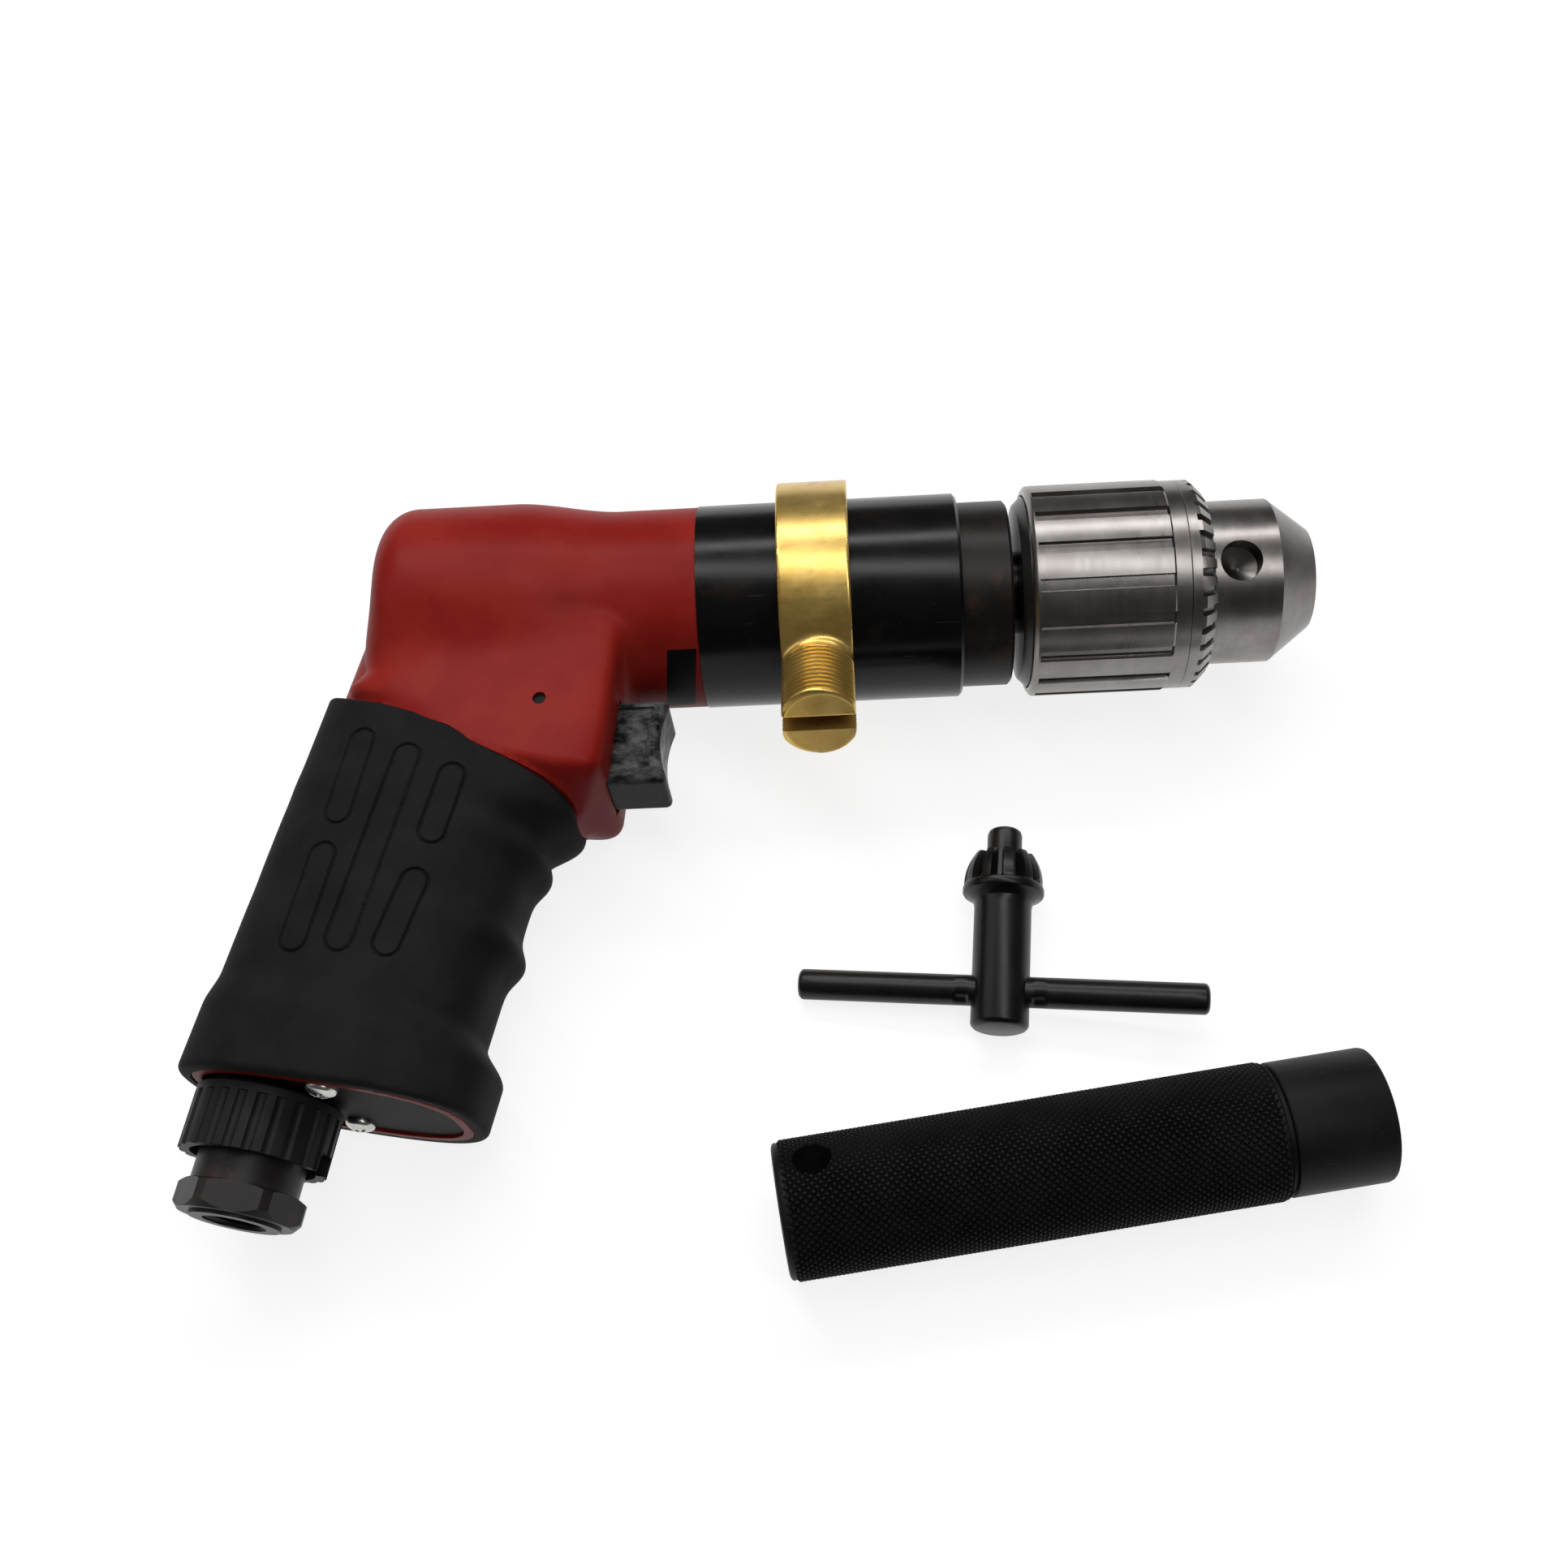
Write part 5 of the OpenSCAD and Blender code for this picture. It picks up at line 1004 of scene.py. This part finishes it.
# Chuck key: toothed head and shank, and a cross bar with crimps beside the shank
def key_head():
    gear_y, gear_end = KEY_GEAR_Y, KEY_GEAR_Y + KEY_GEAR_LEN
    per_tooth = 14
    turn = turns(KEY_TEETH * per_tooth)
    wave = triangle(turn * KEY_TEETH / (2 * math.pi))
    shank = ((-KEY_BACK, KEY_SHANK_R - 1.1), (-KEY_BACK + 0.25, KEY_SHANK_R - 0.5),
             (-KEY_BACK + 0.7, KEY_SHANK_R - 0.1), (-KEY_BACK + 1.0, KEY_SHANK_R),
             (gear_y - 2.4, KEY_SHANK_R), (gear_y - 1.2, KEY_SHANK_R + 0.25),
             (gear_y - 0.4, KEY_SHANK_R + 1.0), (gear_y, KEY_GEAR_R - 0.7),
             (gear_y + 0.25, KEY_GEAR_R - 0.2), (gear_y + 0.6, KEY_GEAR_R),
             (gear_y + 1.5, KEY_GEAR_R), (gear_y + 1.9, KEY_GEAR_R - 0.15))
    rows = turned(shank, turn)
    for share in np.linspace(0, 1, 12):
        y = gear_y + 2.0 + (KEY_GEAR_LEN - 2.0) * share
        crest = KEY_GEAR_R - 0.2 - 1.9 * share**2.2
        root = KEY_GEAR_R - 0.35 - 2.6 * smooth(share / 0.10) - 0.7 * share
        land = smooth((wave - 0.36 + 0.06 * share) / 0.22)
        rows.append((y, root + (crest - root) * land, turn))
    rows.append((gear_end + 0.02, np.minimum(rows[-1][1], KEY_PILOT_R + 1.4), turn))
    pilot = ((gear_end + 0.05, KEY_PILOT_R + 0.15), (gear_end + 0.3, KEY_PILOT_R),
             (KEY_LEN - 1.4, KEY_PILOT_R), (KEY_LEN - 0.6, KEY_PILOT_R - 0.25),
             (KEY_LEN - 0.15, KEY_PILOT_R - 0.8), (KEY_LEN, KEY_PILOT_R - 1.5))
    rows += turned(pilot, turn)
    upright = IN_KEY @ Matrix.Rotation(math.pi / 2, 4, "Z")
    made = piece("key_head", "loose_key", *lathe(rows), upright, BLUED_KEY, "black_oxide",
                 ("key_shank",), 30)
    bore_r = KEY_BAR_R + KEY_BAR_GAP
    bore = lathe(turned(((-KEY_BORE_REACH, bore_r), (KEY_BORE_REACH, bore_r)), turns(48)))
    cut(made, *bore, IN_KEY, 30)


def key_bar():
    turn = turns(48)
    half, r = KEY_BAR_LEN / 2, KEY_BAR_R
    end_rows = turned(((-half, r - 1.0), (-half + 0.15, r - 0.55), (-half + 0.5, r - 0.15),
                       (-half + 0.9, r)), turn)
    rows = list(end_rows)
    pinch = np.exp(-(np.cos(turn - CRIMP_TURN) / 0.42) ** 2)
    spread = np.exp(-(np.sin(turn - CRIMP_TURN) / 0.30) ** 2)
    squeeze = CRIMP_SPREAD - CRIMP_DEPTH * pinch - CRIMP_SPREAD * (1 - spread)
    for x in np.concatenate([np.linspace(-half + 3, -12, 8), np.linspace(-11.4, 11.4, 77),
                             np.linspace(12, half - 3, 8)]):
        dent = smooth((CRIMP_W - np.abs(np.abs(x) - CRIMP_X)) / CRIMP_EDGE)
        rows.append((x, r + dent * squeeze, turn))
    rows += [(-x, radius, turn) for x, radius, _ in end_rows[::-1]]
    piece("key_cross_bar", "loose_key", *lathe(rows), IN_KEY, BLUED_KEY, "black_oxide",
          ("key_bar",), 30)


key_head()
key_bar()


# Base screws with domed heads and a cross
def screw_field(u, w, v):
    """One screw about its own axis; v runs out of the base."""
    r = np.hypot(u, w)
    dome = np.hypot(r, v - SCREW_HEAD_H + SCREW_DOME_R) - SCREW_DOME_R
    head = np.maximum(meet_round(r - SCREW_HEAD_R, dome, SCREW_EDGE), -v)
    shank = np.maximum(r - SCREW_SHANK_R, np.maximum(-SCREW_SHANK_LEN - v, v - SCREW_OVERLAP))
    along = np.maximum(np.abs(u) - CROSS_HALF_W, np.abs(w) - CROSS_REACH)
    across = np.maximum(np.abs(w) - CROSS_HALF_W, np.abs(u) - CROSS_REACH)
    arms = np.minimum(along, across)
    cross = np.maximum(arms + (CROSS_TOP - v) * CROSS_LEAN, CROSS_FLOOR - v)
    return np.maximum(np.minimum(head, shank), -cross)


def base_screws():
    points, faces = contour(screw_field, evenly(SCREW_LOW, SCREW_HIGH, SCREW_CELL))
    parts = []
    for side, turn in ((-1, 0.5), (1, 1.1)):
        c, s = math.cos(turn), math.sin(turn)
        spun = points @ np.array([[c, s, 0], [-s, c, 0], [0, 0, 1]])
        parts.append((spun + (SCREW_U, side * SCREW_W, SCREW_V), faces))
    piece("cross_screws", "tool", *joined(*parts), IN_INLET, ZINC, "zinc", ("base_screws",), 35)


base_screws()


# Thread inside the air inlet
def inlet_thread():
    turn = turns(72)
    rows = [(INLET_END_V, INLET_OUTER_R, turn)]
    for j in range(INLET_ROWS + 1):
        v = INLET_END_V - INLET_THREAD_LEN * j / INLET_ROWS
        fade = smooth(min(j, INLET_ROWS - j) / INLET_FADE_ROWS)
        relief = INLET_THREAD_DEPTH * triangle(v / INLET_PITCH - turn / (2 * math.pi)) * fade
        rows.append((v, INLET_CREST_R - relief, turn))
    rows.append((INLET_END_V - INLET_THREAD_LEN, INLET_OUTER_R, turn))
    upright = IN_INLET @ Matrix.Rotation(-math.pi / 2, 4, "Y")
    piece("inlet_thread", "tool", *lathe(rows, loop=True), upright, BLUED_INLET, "black_oxide",
          (), 25)


inlet_thread()


# Blank label patch under the front of the housing
def label_patch():
    rows, columns = LABEL_ROWS, LABEL_COLUMNS
    points, faces = [], []
    for lift in LABEL_LIFTS:
        for j in range(rows + 1):
            for i in range(columns + 1):
                x = LABEL_X + LABEL_W * i / columns - LABEL_SLANT * j / rows
                angle = math.radians(LABEL_FROM + LABEL_SPAN * j / rows)
                radius = FRONT_R + lift
                points.append((x, radius * math.cos(angle), radius * math.sin(angle)))
    row, layer = columns + 1, (rows + 1) * (columns + 1)
    for j in range(rows):
        for i in range(columns):
            a = j * row + i
            faces += [[a, a + 1, a + row + 1, a + row],
                      [layer + a, layer + a + row, layer + a + row + 1, layer + a + 1]]
    rim = (list(range(columns)) + [columns + j * row for j in range(rows)]
           + [rows * row + i for i in range(columns, 0, -1)]
           + [j * row for j in range(rows, 0, -1)])
    for a, b in zip(rim, rim[1:] + rim[:1]):
        faces.append([a, b, layer + b, layer + a])
    piece("blank_label", "tool", points, faces, IN_DRILL, LABEL_BLACK, "black_plastic", (), 40)


label_patch()


# Floor, light and camera
FLOOR_REACH, FLOOR_GLOW = 6.0, 0.83
AMBIENT = 0.08
LAMPS = (("rear_strip", (0.05, 0.66, 0.88), (1.4, 0.15), 5.9),
         ("upper_strip", (0.05, 0.05, 0.98), (1.4, 0.15), 4.6),
         ("left", (-0.85, 0.10, 0.80), (0.4, 0.8), 1.4))


def floor():
    f = Finish("pale_floor", Base_Color=(0.26, 0.26, 0.26, 1), Roughness=0.9,
               Specular_IOR_Level=0.1)
    seen_by = f.node("ShaderNodeLightPath", output="Is Camera Ray")
    for ray in ("Is Glossy Ray", "Is Transmission Ray"):
        seen_by = seen_by.math("MAXIMUM", seen_by, f.node("ShaderNodeLightPath", output=ray))
    plain = Value(f, f.shader.outputs[0])
    glow = f.node("ShaderNodeEmission", None, {"Color": (1, 1, 1, 1), "Strength": FLOOR_GLOW})
    bright = f.node("ShaderNodeAddShader", None, {0: plain, 1: glow})
    f.feed(f.tree.nodes["Material Output"].inputs["Surface"],
           f.node("ShaderNodeMixShader", None, {0: seen_by, 1: plain, 2: bright}))
    mesh = bpy.data.meshes.new("floor")
    corners = ((-1, -1), (1, -1), (1, 1), (-1, 1))
    points = [(x * FLOOR_REACH, y * FLOOR_REACH, 0) for x, y in corners]
    mesh.from_pydata(points, [], [(0, 1, 2, 3)])
    mesh.materials.append(f.material)
    linked("floor", mesh)


def light():
    world = bpy.data.worlds.new("studio")
    bpy.context.scene.world = world
    world.use_nodes = True
    back = world.node_tree.nodes["Background"]
    back.inputs["Color"].default_value = (1, 1, 1, 1)
    back.inputs["Strength"].default_value = AMBIENT
    for name, place, (width, depth), power in LAMPS:
        data = bpy.data.lights.new(name, "AREA")
        data.shape, data.size, data.size_y, data.energy = "RECTANGLE", width, depth, power
        made = linked(name, data)
        made.location = place
        made.rotation_euler = (-made.location).to_track_quat("-Z", "Y").to_euler()


CAMERA_AT = (29.80, -196.59, 276.82)
CAMERA_RISE, CAMERA_YAW, CAMERA_ROLL = 60.85, -5.23, -7.09
FOCAL, PICTURE, SENSOR = 2000.0, 1932.0, 36.0


def camera():
    e, a, r = (math.radians(v) for v in (CAMERA_RISE, CAMERA_YAW, CAMERA_ROLL))
    ahead = np.array([math.sin(a) * math.cos(e), math.cos(a) * math.cos(e), -math.sin(e)])
    right = np.array([math.cos(a), -math.sin(a), 0.0])
    down = np.cross(ahead, right)
    right, down = (math.cos(r) * right - math.sin(r) * down,
                   math.sin(r) * right + math.cos(r) * down)
    data = bpy.data.cameras.new("camera")
    data.sensor_width, data.lens = SENSOR, FOCAL / PICTURE * SENSOR
    data.clip_start, data.clip_end = 0.01, 50
    made = linked("camera", data)
    place = np.eye(4)
    place[:3, 0], place[:3, 1], place[:3, 2] = right, -down, -ahead
    place[:3, 3] = (np.array(CAMERA_AT) + (-ORIGIN_X, -ORIGIN_Y, RING_R)) * MM
    made.matrix_world = Matrix(place.tolist())
    bpy.context.scene.camera = made


floor()
light()
camera()
bpy.context.scene.view_settings.view_transform = "Standard"
